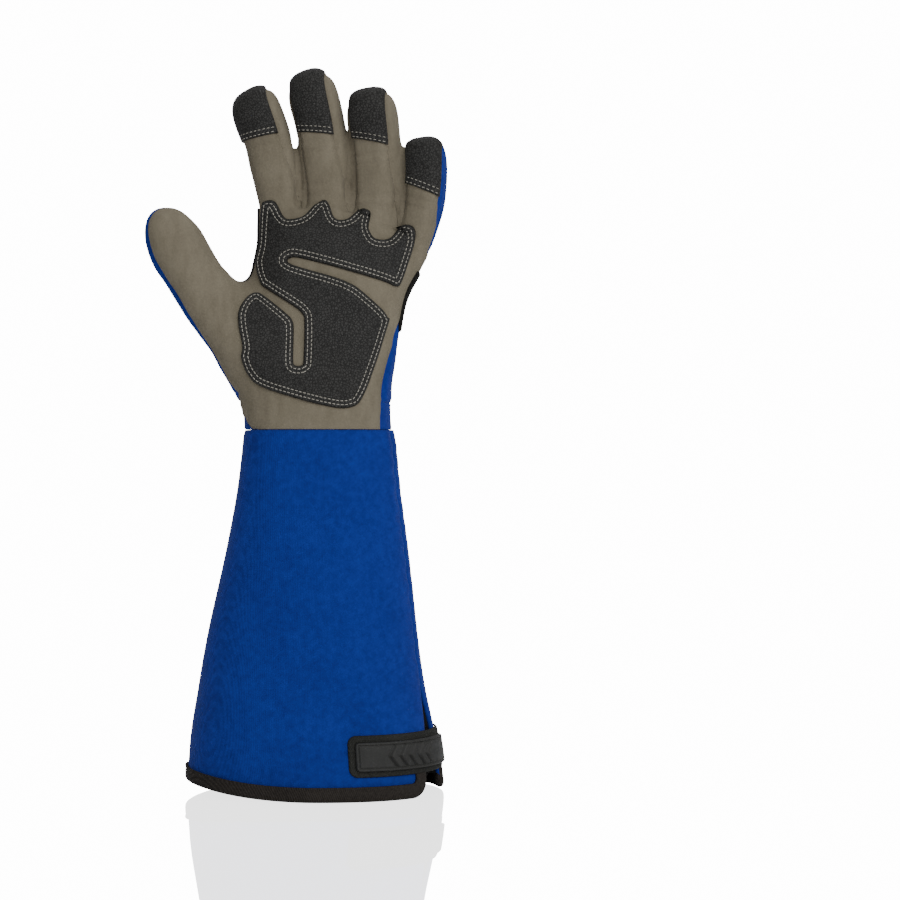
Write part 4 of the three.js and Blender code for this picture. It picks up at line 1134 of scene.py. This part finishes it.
@dataclass
class CuffGroup:
    """The long cuff with its binding, its gusset behind the vent, and its closing strap with the tab."""

    rows: int = 150
    columns: int = 220
    corner: float = 10.0
    corner_columns: int = 9
    wall: float = 1.8
    swell: float = 0.8
    strap_height: float = 23.0
    strap_above_hem: float = 12.0
    strap_length: float = 88.0
    strap_corner: float = 5.0
    strap_end_angle: float = 0.16
    tab_margin: float = 3.4
    tab_length: float = 70.0
    chevrons: int = 5
    chevron_start: float = 18.0
    chevron_pitch: float = 6.4
    chevron_reach: float = 5.5
    gusset_overlap: float = 7.0
    gusset_folds: int = 3
    gusset_fold_depth: float = 5.0
    strap_thickness: float = 1.5
    strap_edge: float = 1.1
    slab_wall: float = 0.6
    tab_base: float = 2.1
    tab_rise: float = 1.6
    tab_edge: float = 0.8
    rim_place: float = 1.9
    rim_width: float = 0.5
    rim_depth: float = 0.8
    chevron_depth: float = 1.5
    seam_depth: float = 0.9
    seam_width: float = 1.2
    pucker_depth: float = 0.35
    pucker_width: float = 7.0
    pull_height: float = 0.5
    pull_width: float = 3.2
    wrist_depth: float = 0.6
    wrist_width: float = 1.7
    gather_height: float = 1.3
    gather_fade: float = 15.0

    def relief(self, height: Array, angle: Array) -> Array:
        """The cloth's slow swells, its side seam and wrist seam, and the gathers at the wrist's back."""
        x, y, z = np.moveaxis(cuff_point(height, angle, 0.0), -1, 0)
        swell = np.sin(0.045 * x + 0.021 * z + 0.4) * np.sin(0.033 * z - 0.05 * y) * self.swell
        swell += np.sin(0.11 * x - 0.04 * z + 2.0) * np.sin(0.06 * z + 0.07 * y) * 0.35 * self.swell
        level = 1.0 - height / CUFF_LENGTH
        away = np.abs(np.mod(angle - VENT_ANGLE + np.pi, 2.0 * np.pi) - np.pi)
        arc = away * vent_arc() * (1.0 - 0.4 * (1.0 - level))
        above = smooth_step(VENT_HEIGHT - 4.0, VENT_HEIGHT + 8.0, height)
        seam = -self.seam_depth * bell(arc, self.seam_width) * above
        ripple = np.sin(0.55 * height + 1.2 * np.sin(0.13 * height))
        pucker = self.pucker_depth * bell(arc, self.pucker_width) * ripple * above
        pull = self.pull_height * bell(arc - self.pucker_width, self.pull_width)
        pull = pull * smooth_step(0.55, 0.95, height / CUFF_LENGTH)
        to_wrist = CUFF_LENGTH - height
        wrist = -self.wrist_depth * bell(to_wrist, self.wrist_width)
        folds = 0.5 + 0.5 * np.cos(24.0 * angle + 0.6 * np.sin(5.0 * angle))
        rear = smooth_step(0.0, 0.5, np.sin(angle))
        gathers = self.gather_height * (folds**1.4 - 0.35) * rear * bell(to_wrist, self.gather_fade)
        return swell * smooth_step(0.0, 12.0, to_wrist) + seam + pucker + pull + wrist + gathers

    def hem_line(self) -> tuple[Array, Array]:
        """Angles from one edge of the vent round to the other, and the hem's height there.

        Both corners at the vent are rounded: at a distance d from the edge, the hem is higher by
        r - sqrt(r^2 - (r - d)^2).
        """
        half = float(vent_half_angle(np.array(HEM)))
        per_radian = vent_arc()
        turn = np.linspace(0.0, np.pi / 2.0, self.corner_columns, endpoint=False)
        side = self.corner * (1.0 - np.cos(turn)) / per_radian
        rise = self.corner * (1.0 - np.sin(turn))
        reach = self.corner / per_radian
        span = 2.0 * np.pi - 2.0 * half
        middle = np.linspace(reach, span - reach, self.columns)
        angles = VENT_ANGLE + half + np.concatenate([side, middle, span - side[::-1]])
        heights = HEM + np.concatenate([rise, np.zeros(self.columns), rise[::-1]])
        return angles, heights

    def shell(self, finishes: "Finishes") -> None:
        """The cuff's cloth: a grid from hem to wrist, open along the vent and closed above its apex."""
        angles, hem = self.hem_line()
        level = np.linspace(0.0, 1.0, self.rows)[:, None]
        height = hem + level * (CUFF_LENGTH - hem)
        half = vent_half_angle(height)
        share = (angles - angles[0]) / (angles[-1] - angles[0])
        angle = VENT_ANGLE + half + share * (2.0 * np.pi - 2.0 * half)
        roll = np.minimum(share, 1.0 - share) * 400.0
        edge = -0.7 * bell(roll, 1.4) * (half > 0.0)
        points = cuff_point(height, angle, self.relief(height, angle) + edge)
        columns = len(angles)
        numbers = np.arange(points.shape[0] * columns).reshape(-1, columns)
        numbers[:, -1] = np.where(half[:, 0] > 0.0, numbers[:, -1], numbers[:, 0])
        faces = numbers.reshape(-1)[grid_faces(self.rows, columns)]
        part = Skin(points.reshape(-1, 3), faces).compact(faces)
        piece = add_object("cuff_cloth", part.points, part.faces)
        thicken(piece, self.wall)
        dress(piece, finishes.blue, "cloth_blue", "cuff")

    def binding(self, finishes: "Finishes") -> None:
        """The binding: a thick U folded round the hem's edge, carried along the hem and up both corners.

        The path lies on the edge. A profile point lies a depth inside the edge, square to the path in the
        cloth's surface, and an offset out of the cloth.
        """
        angles, heights = self.hem_line()
        rising = np.array([5.0, 3.0, 1.0])
        angles = np.concatenate([np.full(3, angles[0]), angles, np.full(3, angles[-1])])
        heights = np.concatenate([heights[0] + rising, heights, heights[-1] + rising[::-1]])
        per_radian = vent_arc()
        flat = np.stack([angles * per_radian, heights], 1)
        forward = unit(np.gradient(flat, axis=0))
        inward = np.stack([-forward[:, 1] / per_radian, forward[:, 0]], 1)
        middle, half, wall = -WALL / 2.0, WALL / 2.0 + GAP + BINDING_THICKNESS / 2.0, BINDING_THICKNESS / 2.0
        bend = half + wall - HEM
        turn = np.linspace(0.0, np.pi, 9)
        tall = BINDING_HEIGHT - bend
        straight = np.linspace(tall, 0.0, 6, endpoint=False)
        groove = 0.22 * bell(straight - tall + 1.7, 0.5) - 0.25 * (straight > tall - 0.1)

        def side(extra: float) -> Array:
            reach = half + extra
            sewn = reach - groove * (extra > 0.0)
            outer = np.stack([bend + straight, middle + sewn], 1)
            fold = np.stack([bend - reach * np.sin(turn), middle + reach * np.cos(turn)], 1)
            inner = np.stack([bend + straight[::-1], np.full(6, middle - reach)], 1)
            return np.concatenate([outer, fold, inner])

        profile = np.concatenate([side(wall), side(-wall)[::-1]])
        depth, offset = profile.T
        angle = angles[:, None] + inward[:, :1] * depth
        height = heights[:, None] + inward[:, 1:] * depth
        cloth = self.relief(np.maximum(heights, HEM), angles)[:, None]
        points = cuff_point(height, angle, offset + cloth)
        count = len(profile)
        ends = np.arange(count // 2 - 1)
        cap = np.stack([ends, count - 1 - ends, count - 2 - ends, ends + 1], -1)
        last = cap[:, ::-1] + (len(angles) - 1) * count
        faces = np.concatenate([grid_faces(len(angles), count, True), cap, last])
        piece = add_object("hem_tape", points.reshape(-1, 3), faces[:, ::-1])
        dress(piece, finishes.binding, "binding_black", "hem_binding")

    def gusset(self, finishes: "Finishes") -> None:
        """The gusset behind the vent: pleats of a cosine across, as deep as the vent is open there."""
        rows, columns = 44, 84
        low = HEM + BINDING_HEIGHT + 2.0 * BINDING_THICKNESS
        height = np.linspace(low, HEM + VENT_HEIGHT + self.gusset_overlap, rows)[:, None]
        across = np.linspace(0.0, 1.0, columns)
        half = vent_half_angle(height) + self.gusset_overlap / vent_arc()
        opening = np.clip(1.0 - (height - HEM) / VENT_HEIGHT, 0.0, 1.0)
        wave = (1.0 - np.cos(2.0 * np.pi * self.gusset_folds * across + 0.25 * np.sin(0.12 * height))) / 2.0
        inside = WALL + 2.0 * GAP + self.gusset_fold_depth * opening * wave
        points = cuff_point(height, VENT_ANGLE + half * (2.0 * across - 1.0), -inside)
        piece = add_object("gusset_cloth", points.reshape(-1, 3), grid_faces(rows, columns))
        thicken(piece, 1.2)
        dress(piece, finishes.gusset, "gusset_black", "vent_gusset")

    def angle_after(self, start: float, length: Array) -> Array:
        """The angles reached by going lengths round the hem from a start, towards the palm."""
        angles = start - np.linspace(0.0, 2.2, 400)
        steps = np.diff(angles, prepend=start) * -arc_per_radian(angles)
        return np.interp(length, np.cumsum(steps), angles)

    def slab(self, name: str, along: Array, half: Array, lift: Callable[[Array, Array], Array]) -> Object:
        """A band that lies on the cuff's outside, seen as rows along the hem and columns across its height.

        Args:
            name: the piece's name.
            along: distances from the strap's root, growing towards its free end.
            half: half the band's height there.
            lift: its height over the cuff, from the distance along and from the distance across.

        Returns:
            The piece.
        """
        across = np.linspace(-1.0, 1.0, 49)
        middle = HEM + self.strap_above_hem + self.strap_height / 2.0
        height = middle + half[:, None] * across
        angle = self.angle_after(self.strap_end_angle, along)[:, None] + 0.0 * across
        base = self.relief(np.full_like(angle, middle), angle)
        points = cuff_point(height, angle, base + lift(along[:, None], half[:, None] * across))
        faces = grid_faces(len(along), len(across))
        piece = add_object(name, points.reshape(-1, 3), faces)
        thicken(piece, self.slab_wall)
        return piece

    def strap(self, finishes: "Finishes") -> None:
        """The strap: its free end has rounded corners, and its edges are rolled."""
        reach = self.strap_length
        end = 6.0
        rest = (1.0 - np.linspace(0, 1, 22)[1:]) ** 1.6
        along = np.concatenate([np.linspace(0.0, reach - end, 90), reach - end * rest])
        full = self.strap_height / 2.0
        left = np.clip(self.strap_corner - (reach - along), 0.0, self.strap_corner)
        half = full - self.strap_corner + np.sqrt(self.strap_corner**2 - left**2)

        def lift(place: Array, across: Array) -> Array:
            inside = np.minimum(half[:, None] - np.abs(across), reach - place)
            return GAP + self.strap_thickness * rounded_edge(inside, self.strap_edge)

        piece = self.slab("strap_cloth", along, half, lift)
        dress(piece, finishes.strap, "strap_black", "strap")

    def tab(self, finishes: "Finishes") -> None:
        """The moulded tab on the strap: a raised rim, a sunken field, and chevron grooves."""
        low = self.strap_length - self.tab_margin - self.tab_length
        high = self.strap_length - self.tab_margin
        along = np.linspace(low, high, 240)
        full = self.strap_height / 2.0 - self.tab_margin
        corner = self.strap_corner / 2.0
        near = np.clip(corner - np.minimum(high - along, along - low), 0.0, corner)
        half = full - corner + np.sqrt(corner**2 - near**2)

        def lift(place: Array, across: Array) -> Array:
            inside = np.minimum(half[:, None] - np.abs(across), np.minimum(high - place, place - low))
            height = self.tab_base + self.tab_rise * rounded_edge(inside, self.tab_edge)
            height -= self.rim_depth * smooth_step(self.rim_width, 0.0, np.abs(inside - self.rim_place))
            reach = self.chevron_reach * np.abs(across) / full
            for number in range(self.chevrons):
                start = self.chevron_start + number * self.chevron_pitch
                past = high - place - start - reach
                groove = smooth_step(-0.35, 0.15, past) * smooth_step(3.0, 0.9, past)
                height -= self.chevron_depth * groove * smooth_step(1.6, 2.3, inside)
            return height

        piece = self.slab("tab_rubber_moulding", along, half, lift)
        dress(piece, finishes.rubber, "tab_rubber", "strap_tab")

    def build(self, finishes: "Finishes") -> None:
        """Makes the cuff's pieces."""
        self.shell(finishes)
        self.binding(finishes)
        self.gusset(finishes)
        self.strap(finishes)
        self.tab(finishes)


class Pattern(Enum):
    """The relief patterns that finishes use."""

    KNIT = "knit"
    NAP = "nap"
    GRAIN = "grain"
    RIBS = "ribs"


class Graph:
    """Adds nodes to a tree and links them."""

    def __init__(self, tree: Tree) -> None:
        """Keeps the tree."""
        self.tree = tree

    def add(self, kind: str, inputs: dict | None = None, **settings: object) -> Node:
        """Adds a node.

        Args:
            kind: the node's type, without "ShaderNode" in front.
            inputs: values or sockets by the name or number of the node's input.
            settings: the node's own settings.

        Returns:
            The node.
        """
        node = self.tree.nodes.new(kind if kind.startswith("Node") else "ShaderNode" + kind)
        for name, value in settings.items():
            setattr(node, name, value)
        for name, value in (inputs or {}).items():
            if isinstance(value, Socket):
                self.tree.links.new(value, node.inputs[name])
            else:
                node.inputs[name].default_value = value
        return node

    def math(self, operation: str, first: object, second: object = 0.0, third: object = 0.5) -> Socket:
        """A Math node's result. Only MULTIPLY_ADD uses the third value."""
        return self.add("Math", {0: first, 1: second, 2: third}, operation=operation).outputs[0]

    def along(self, place: Socket, direction: Triple) -> Socket:
        """How far a place lies along a direction."""
        return self.add("VectorMath", {0: place, 1: direction}, operation="DOT_PRODUCT").outputs["Value"]

    def noise(self, place: Socket, scale: float, detail: float = 2.0) -> Socket:
        """A noise's value between 0 and 1."""
        node = self.add("TexNoise", {"Vector": place, "Scale": scale, "Detail": detail})
        return node.outputs["Fac"]


def new_material(name: str) -> tuple[Material, Graph, Node]:
    """An empty material, what adds nodes to it, and its shader."""
    material = bpy.data.materials.new(name)
    material.use_nodes = True
    return material, Graph(material.node_tree), material.node_tree.nodes["Principled BSDF"]


class Patterns:
    """The node groups that all finishes share, each built once.

    Each group takes a place in pattern widths and gives a height and a mask, both between 0 and 1. In the
    four patterns the mask follows the relief, lighter on raised parts and darker in hollows: painted shade,
    mixed in most of them with random tone. The unevenness group's mask is scuffs, which set roughness.
    """

    def __init__(self) -> None:
        """Builds every group."""
        self.groups = {
            Pattern.KNIT: self.knit(),
            Pattern.NAP: self.nap(),
            Pattern.GRAIN: self.grain(),
            Pattern.RIBS: self.ribs(),
        }
        self.wear = self.unevenness()

    def start(self, name: str) -> tuple[Graph, Socket, Node]:
        """An empty group with a Place input, and Height and Mask outputs."""
        tree = bpy.data.node_groups.new(name, "ShaderNodeTree")
        tree.interface.new_socket("Place", in_out="INPUT", socket_type="NodeSocketVector")
        tree.interface.new_socket("Height", in_out="OUTPUT", socket_type="NodeSocketFloat")
        tree.interface.new_socket("Mask", in_out="OUTPUT", socket_type="NodeSocketFloat")
        graph = Graph(tree)
        return graph, graph.add("NodeGroupInput").outputs["Place"], graph.add("NodeGroupOutput")

    def finish(self, graph: Graph, out: Node, height: object, mask: object) -> Tree:
        """Links a group's outputs."""
        graph.tree.links.new(height, out.inputs["Height"])
        graph.tree.links.new(mask, out.inputs["Mask"])
        return graph.tree

    def knit(self) -> Tree:
        """Stretch knit: the product of two crossed diagonal waves, with fuzz, and a mask of the same waves
        that paints shade into the knit's hollows, with random tone from a slow noise.
        """
        graph, place, out = self.start("stretch_knit")
        turn = 2.0 * math.pi
        first = graph.math("SINE", graph.along(place, (turn, 0.8 * turn, 0.8 * turn)))
        second = graph.math("SINE", graph.along(place, (-0.6 * turn, -0.8 * turn, turn)))
        weave = graph.math("MULTIPLY", first, second)
        fuzz = graph.noise(place, 2.4, 3.0)
        height = graph.math("MULTIPLY_ADD", weave, 0.28, fuzz)
        # The mask repeats the weave: painted shade in the knit's hollows, with random tone from a slow
        # noise.
        mask = graph.math("MULTIPLY_ADD", weave, 0.22, graph.noise(place, 0.35, 3.0))
        return self.finish(graph, out, height, mask)

    def nap(self) -> Tree:
        """Suede nap: very fine noise, with a brushed mask. The mask also holds the fine noise of the height,
        which paints shade where the nap lies low, beside random brushed streaks of tone.
        """
        graph, place, out = self.start("suede_nap")
        fine = graph.noise(place, 1.3, 4.0)
        stretched = graph.add("Mapping", {"Vector": place, "Scale": (0.5, 0.5, 0.16)}).outputs["Vector"]
        brushed = graph.math("MULTIPLY", graph.noise(stretched, 0.55, 4.0), 0.65)
        # Painted shade where the fine noise of the height is low, mixed with random brushed streaks of tone.
        mask = graph.math("MULTIPLY_ADD", fine, 0.35, brushed)
        return self.finish(graph, out, fine, mask)

    def grain(self) -> Tree:
        """Leather grain: rounded cells with creases between them. The mask is the cells' rise, which darkens
        the creases with painted shade.
        """
        graph, place, out = self.start("leather_grain")
        wander = graph.add("TexNoise", {"Vector": place, "Scale": 0.6, "Detail": 2.0})
        warped = graph.add("VectorMath", {0: place, 1: wander.outputs["Color"]}, operation="ADD").outputs[0]
        cells = graph.add("TexVoronoi", {"Vector": warped, "Scale": 1.0}, feature="DISTANCE_TO_EDGE")
        limits = {0: cells.outputs["Distance"], 1: 0.0, 2: 0.22, 3: 0.0, 4: 1.0}
        raised = graph.add("MapRange", limits, interpolation_type="SMOOTHSTEP").outputs[0]
        height = graph.math("MULTIPLY_ADD", graph.noise(place, 2.5, 3.0), 0.4, raised)
        # The mask is the cells' rise alone: painted shade in the creases between them.
        return self.finish(graph, out, height, raised)

    def ribs(self) -> Tree:
        """Ribbed tape: parallel waves across the tape, with fuzz. Its mask repeats the waves, which paints
        shade into the grooves between ribs, with random tone from a noise.
        """
        graph, place, out = self.start("tape_ribs")
        turn = 2.0 * math.pi
        wave = graph.math("SINE", graph.along(place, (0.9 * turn, 0.7 * turn, 0.35 * turn)))
        cross = graph.math("SINE", graph.along(place, (-0.2 * turn, -0.2 * turn, 1.1 * turn)))
        height = graph.math("MULTIPLY_ADD", wave, 0.35, graph.math("MULTIPLY_ADD", cross, 0.12))
        # The mask repeats the rib wave: painted shade in the grooves, with random tone from a noise.
        mask = graph.math("MULTIPLY_ADD", wave, 0.25, graph.noise(place, 0.8, 2.0))
        return self.finish(graph, out, height, mask)

    def unevenness(self) -> Tree:
        """Slow changes of tone over the cloth: broad patches as height, and smaller scuffs as mask."""
        graph, place, out = self.start("cloth_unevenness")
        broad = graph.noise(place, 1.0, 3.0)
        scuffs = graph.add("MapRange", {0: graph.noise(place, 4.5, 5.0), 1: 0.5, 2: 0.75, 3: 0.0, 4: 1.0})
        return self.finish(graph, out, broad, scuffs.outputs[0])


@dataclass(frozen=True)
class Finish:
    """A finish: two tones that its pattern and broad patches mix, with painted shade in the pattern's
    hollows, its relief, and how it scatters light.
    """

    name: str
    dark: Triple
    light: Triple
    pattern: Pattern
    pitch: float
    relief: float
    roughness: float
    sheen: float = 0.0
    gloss: float = 0.1
    uneven: float = 0.35
    patch: float = 26.0

    def build(self, patterns: Patterns) -> Material:
        """Makes the material from the shared groups."""
        material, graph, shader = new_material(self.name)
        place = graph.add("TexCoord").outputs["Object"]

        def group(tree: Tree, pitch: float) -> Node:
            scaled = graph.add("VectorMath", {0: place, "Scale": 1.0 / (pitch * MM)}, operation="SCALE")
            return self.placed(graph, tree, scaled.outputs[0])

        weave = group(patterns.groups[self.pattern], self.pitch)
        broad = group(patterns.wear, self.patch)
        # The pattern's mask is painted shade in the relief's hollows, with random tone; the broad patches
        # add random tone over the cloth.
        fine = graph.math("MULTIPLY", weave.outputs["Mask"], 1.0 - self.uneven)
        tone = graph.math("MULTIPLY_ADD", broad.outputs["Height"], self.uneven, fine)
        ramp = graph.add("MapRange", {0: tone, 1: 0.25, 2: 0.75, 3: 0.0, 4: 1.0})
        tones = {0: ramp.outputs[0], 6: (*self.dark, 1.0), 7: (*self.light, 1.0)}
        colour = graph.add("Mix", tones, data_type="RGBA")
        rough = graph.add("MapRange", {
            0: broad.outputs["Mask"], 1: 0.0, 2: 1.0, 3: self.roughness, 4: min(1.0, self.roughness + 0.12)})
        relief = {"Height": weave.outputs["Height"], "Distance": self.relief * MM, "Strength": 1.0}
        bump = graph.add("Bump", relief)
        for source, name in ((colour.outputs[2], "Base Color"), (rough.outputs[0], "Roughness"),
                             (bump.outputs["Normal"], "Normal")):
            graph.tree.links.new(source, shader.inputs[name])
        plain = {"Sheen Weight": self.sheen, "Sheen Roughness": 0.45, "Specular IOR Level": self.gloss}
        for name, value in plain.items():
            shader.inputs[name].default_value = value
        return material

    def placed(self, graph: Graph, tree: Tree, place: Socket) -> Node:
        """Places a shared group in the material."""
        node = graph.tree.nodes.new("ShaderNodeGroup")
        node.node_tree = tree
        graph.tree.links.new(place, node.inputs["Place"])
        return node


class Finishes:
    """All finishes of the glove as materials."""

    def __init__(self) -> None:
        """Builds the shared groups and then each material."""
        patterns = Patterns()
        self.blue = Finish("blue_knit", (0.0055, 0.0185, 0.185), (0.0105, 0.038, 0.31),
                           Pattern.KNIT, 1.3, 0.16, 0.82, 0.06, 0.06).build(patterns)
        self.grey = Finish("grey_suede", (0.135, 0.118, 0.084), (0.24, 0.213, 0.158),
                           Pattern.NAP, 1.6, 0.12, 0.9, 0.05, 0.06).build(patterns)
        self.leather = Finish("black_grained_leather", (0.0156, 0.0152, 0.0145), (0.0425, 0.0415, 0.0398),
                              Pattern.GRAIN, 1.5, 0.14, 0.6, 0.0, 0.16).build(patterns)
        self.band = Finish("black_ribbed_band", (0.007, 0.0068, 0.0065), (0.019, 0.0185, 0.0175),
                           Pattern.RIBS, 1.8, 0.2, 0.85, 0.03, 0.06).build(patterns)
        self.binding = Finish("black_binding_tape", (0.0172, 0.0147, 0.013), (0.0405, 0.0348, 0.0307),
                              Pattern.RIBS, 1.1, 0.12, 0.75, 0.02, 0.08).build(patterns)
        self.gusset = Finish("black_gusset_cloth", (0.005, 0.0048, 0.0045), (0.014, 0.0135, 0.0125),
                             Pattern.KNIT, 1.0, 0.12, 0.85, 0.02, 0.06).build(patterns)
        self.strap = Finish("black_strap_cloth", (0.0145, 0.0148, 0.0135), (0.036, 0.0367, 0.0335),
                            Pattern.RIBS, 0.9, 0.1, 0.75, 0.02, 0.08).build(patterns)
        self.rubber = Finish("black_moulded_rubber", (0.021, 0.0214, 0.0203), (0.0405, 0.0412, 0.0392),
                             Pattern.NAP, 0.7, 0.04, 0.5, 0.0, 0.2).build(patterns)
        self.thread = Finish("pale_thread", (0.3, 0.285, 0.24), (0.52, 0.5, 0.44),
                             Pattern.RIBS, 0.5, 0.05, 0.7).build(patterns)


@dataclass(frozen=True)
class Studio:
    """The pale floor and backdrop, the soft lights and the camera."""

    distance: float = 1.2
    height: float = 0.194
    aim_height: float = 0.2
    lens: float = 83.8
    shift: float = 0.15
    glow: float = 14.0
    mirror: float = 0.82
    span: float = 4000.0
    sweep_start: float = 900.0
    sweep_radius: float = 700.0
    top: float = 5000.0
    below: float = 0.6

    def backdrop(self) -> None:
        """A floor that sweeps up behind: a flat part, a quarter circle and an upright part."""
        turn = np.linspace(0.0, np.pi / 2.0, 24)
        start, radius = self.sweep_start, self.sweep_radius
        flat = np.array([[-self.span, 0.0], [start, 0.0]])
        bend = np.stack([start + radius * np.sin(turn), radius * (1.0 - np.cos(turn))], 1)
        profile = np.concatenate([flat, bend, [[start + radius, self.top]]])
        across = np.linspace(-self.span, self.span, 5)
        depth, height = profile[:, :1], profile[:, 1:] - self.below
        points = np.stack(np.broadcast_arrays(across[None, :], depth, height), -1)
        mesh = bpy.data.meshes.new("studio_floor")
        mesh.from_pydata((points.reshape(-1, 3) * MM).tolist(), [], grid_faces(len(profile), 5).tolist())
        mesh.shade_smooth()
        floor = new_object("studio_floor", mesh)
        mesh.materials.append(self.pale())

    def pale(self) -> Material:
        """The backdrop's material: it glows to the eye, and its flat part mirrors what stands on it.

        Only a sharp mirror's rays see the glow, so that it isn't reflected by the glove.
        """
        material, graph, shader = new_material("pale_floor")
        shader.inputs["Base Color"].default_value = (0.94, 0.94, 0.95, 1.0)
        shader.inputs["Roughness"].default_value = 0.9
        shader.inputs["Emission Color"].default_value = (1.0, 1.0, 1.0, 1.0)
        seen = graph.add("LightPath")
        direct = graph.math("MAXIMUM", seen.outputs["Is Camera Ray"], seen.outputs["Is Singular Ray"])
        glow = graph.math("MULTIPLY", direct, self.glow)
        graph.tree.links.new(glow, shader.inputs["Emission Strength"])
        mirror = graph.add("BsdfGlossy", {"Color": (1.0, 1.0, 1.0, 1.0), "Roughness": 0.0})
        facing_up = graph.add("SeparateXYZ", {0: graph.add("NewGeometry").outputs["Normal"]}).outputs[2]
        flat = graph.math("GREATER_THAN", graph.math("ABSOLUTE", facing_up), 0.99)
        flat_seen = graph.math("MULTIPLY", flat, seen.outputs["Is Camera Ray"])
        share = graph.math("MULTIPLY", flat_seen, self.mirror)
        mixed = graph.add("MixShader", {0: share, 1: shader.outputs[0], 2: mirror.outputs[0]})
        surface = material.node_tree.nodes["Material Output"].inputs["Surface"]
        graph.tree.links.new(mixed.outputs[0], surface)
        return material

    def light(self, name: str, place: Triple, size: float, power: float) -> None:
        """A square soft light that faces the glove."""
        lamp = bpy.data.lights.new(name, "AREA")
        lamp.size = size
        lamp.energy = power
        piece = new_object(name, lamp)
        piece.location = place
        aim = Vector((0.0, 0.0, self.aim_height)) - Vector(place)
        piece.rotation_euler = aim.to_track_quat("-Z", "Y").to_euler()

    def camera(self) -> None:
        """The camera: level, straight at the palm, with the photo's framing by its shift."""
        lens = bpy.data.cameras.new("camera")
        lens.lens = self.lens
        lens.sensor_width = 36.0
        lens.shift_x = self.shift
        lens.clip_end = 50.0
        piece = new_object("camera", lens)
        piece.location = (0.0, -self.distance, self.height)
        piece.rotation_euler = (math.pi / 2.0, 0.0, 0.0)
        bpy.context.scene.camera = piece

    def build(self) -> None:
        """Makes the whole studio."""
        self.camera()
        self.backdrop()
        self.light("key_light", (0.45, -1.7, 1.15), 1.2, 18.0)
        self.light("fill_light", (1.4, -1.2, 0.7), 1.4, 7.5)
        self.light("top_light", (0.0, 0.4, 1.9), 1.5, 8.0)
        world = bpy.data.worlds.new("pale_room")
        world.use_nodes = True
        background = world.node_tree.nodes["Background"]
        background.inputs["Color"].default_value = (1.0, 1.0, 1.0, 1.0)
        background.inputs["Strength"].default_value = 0.3
        bpy.context.scene.world = world


def main() -> None:
    """Loads the frame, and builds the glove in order."""
    logging.basicConfig(level=logging.INFO, format="%(message)s")
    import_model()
    Studio().build()
    finishes = Finishes()
    form = HandForm(voxel=1.15)
    hand = Hand(form)
    hand.build(finishes)
    Patches(hand).build(finishes)
    CuffGroup().build(finishes)
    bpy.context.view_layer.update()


if __name__ == "__main__":
    main()
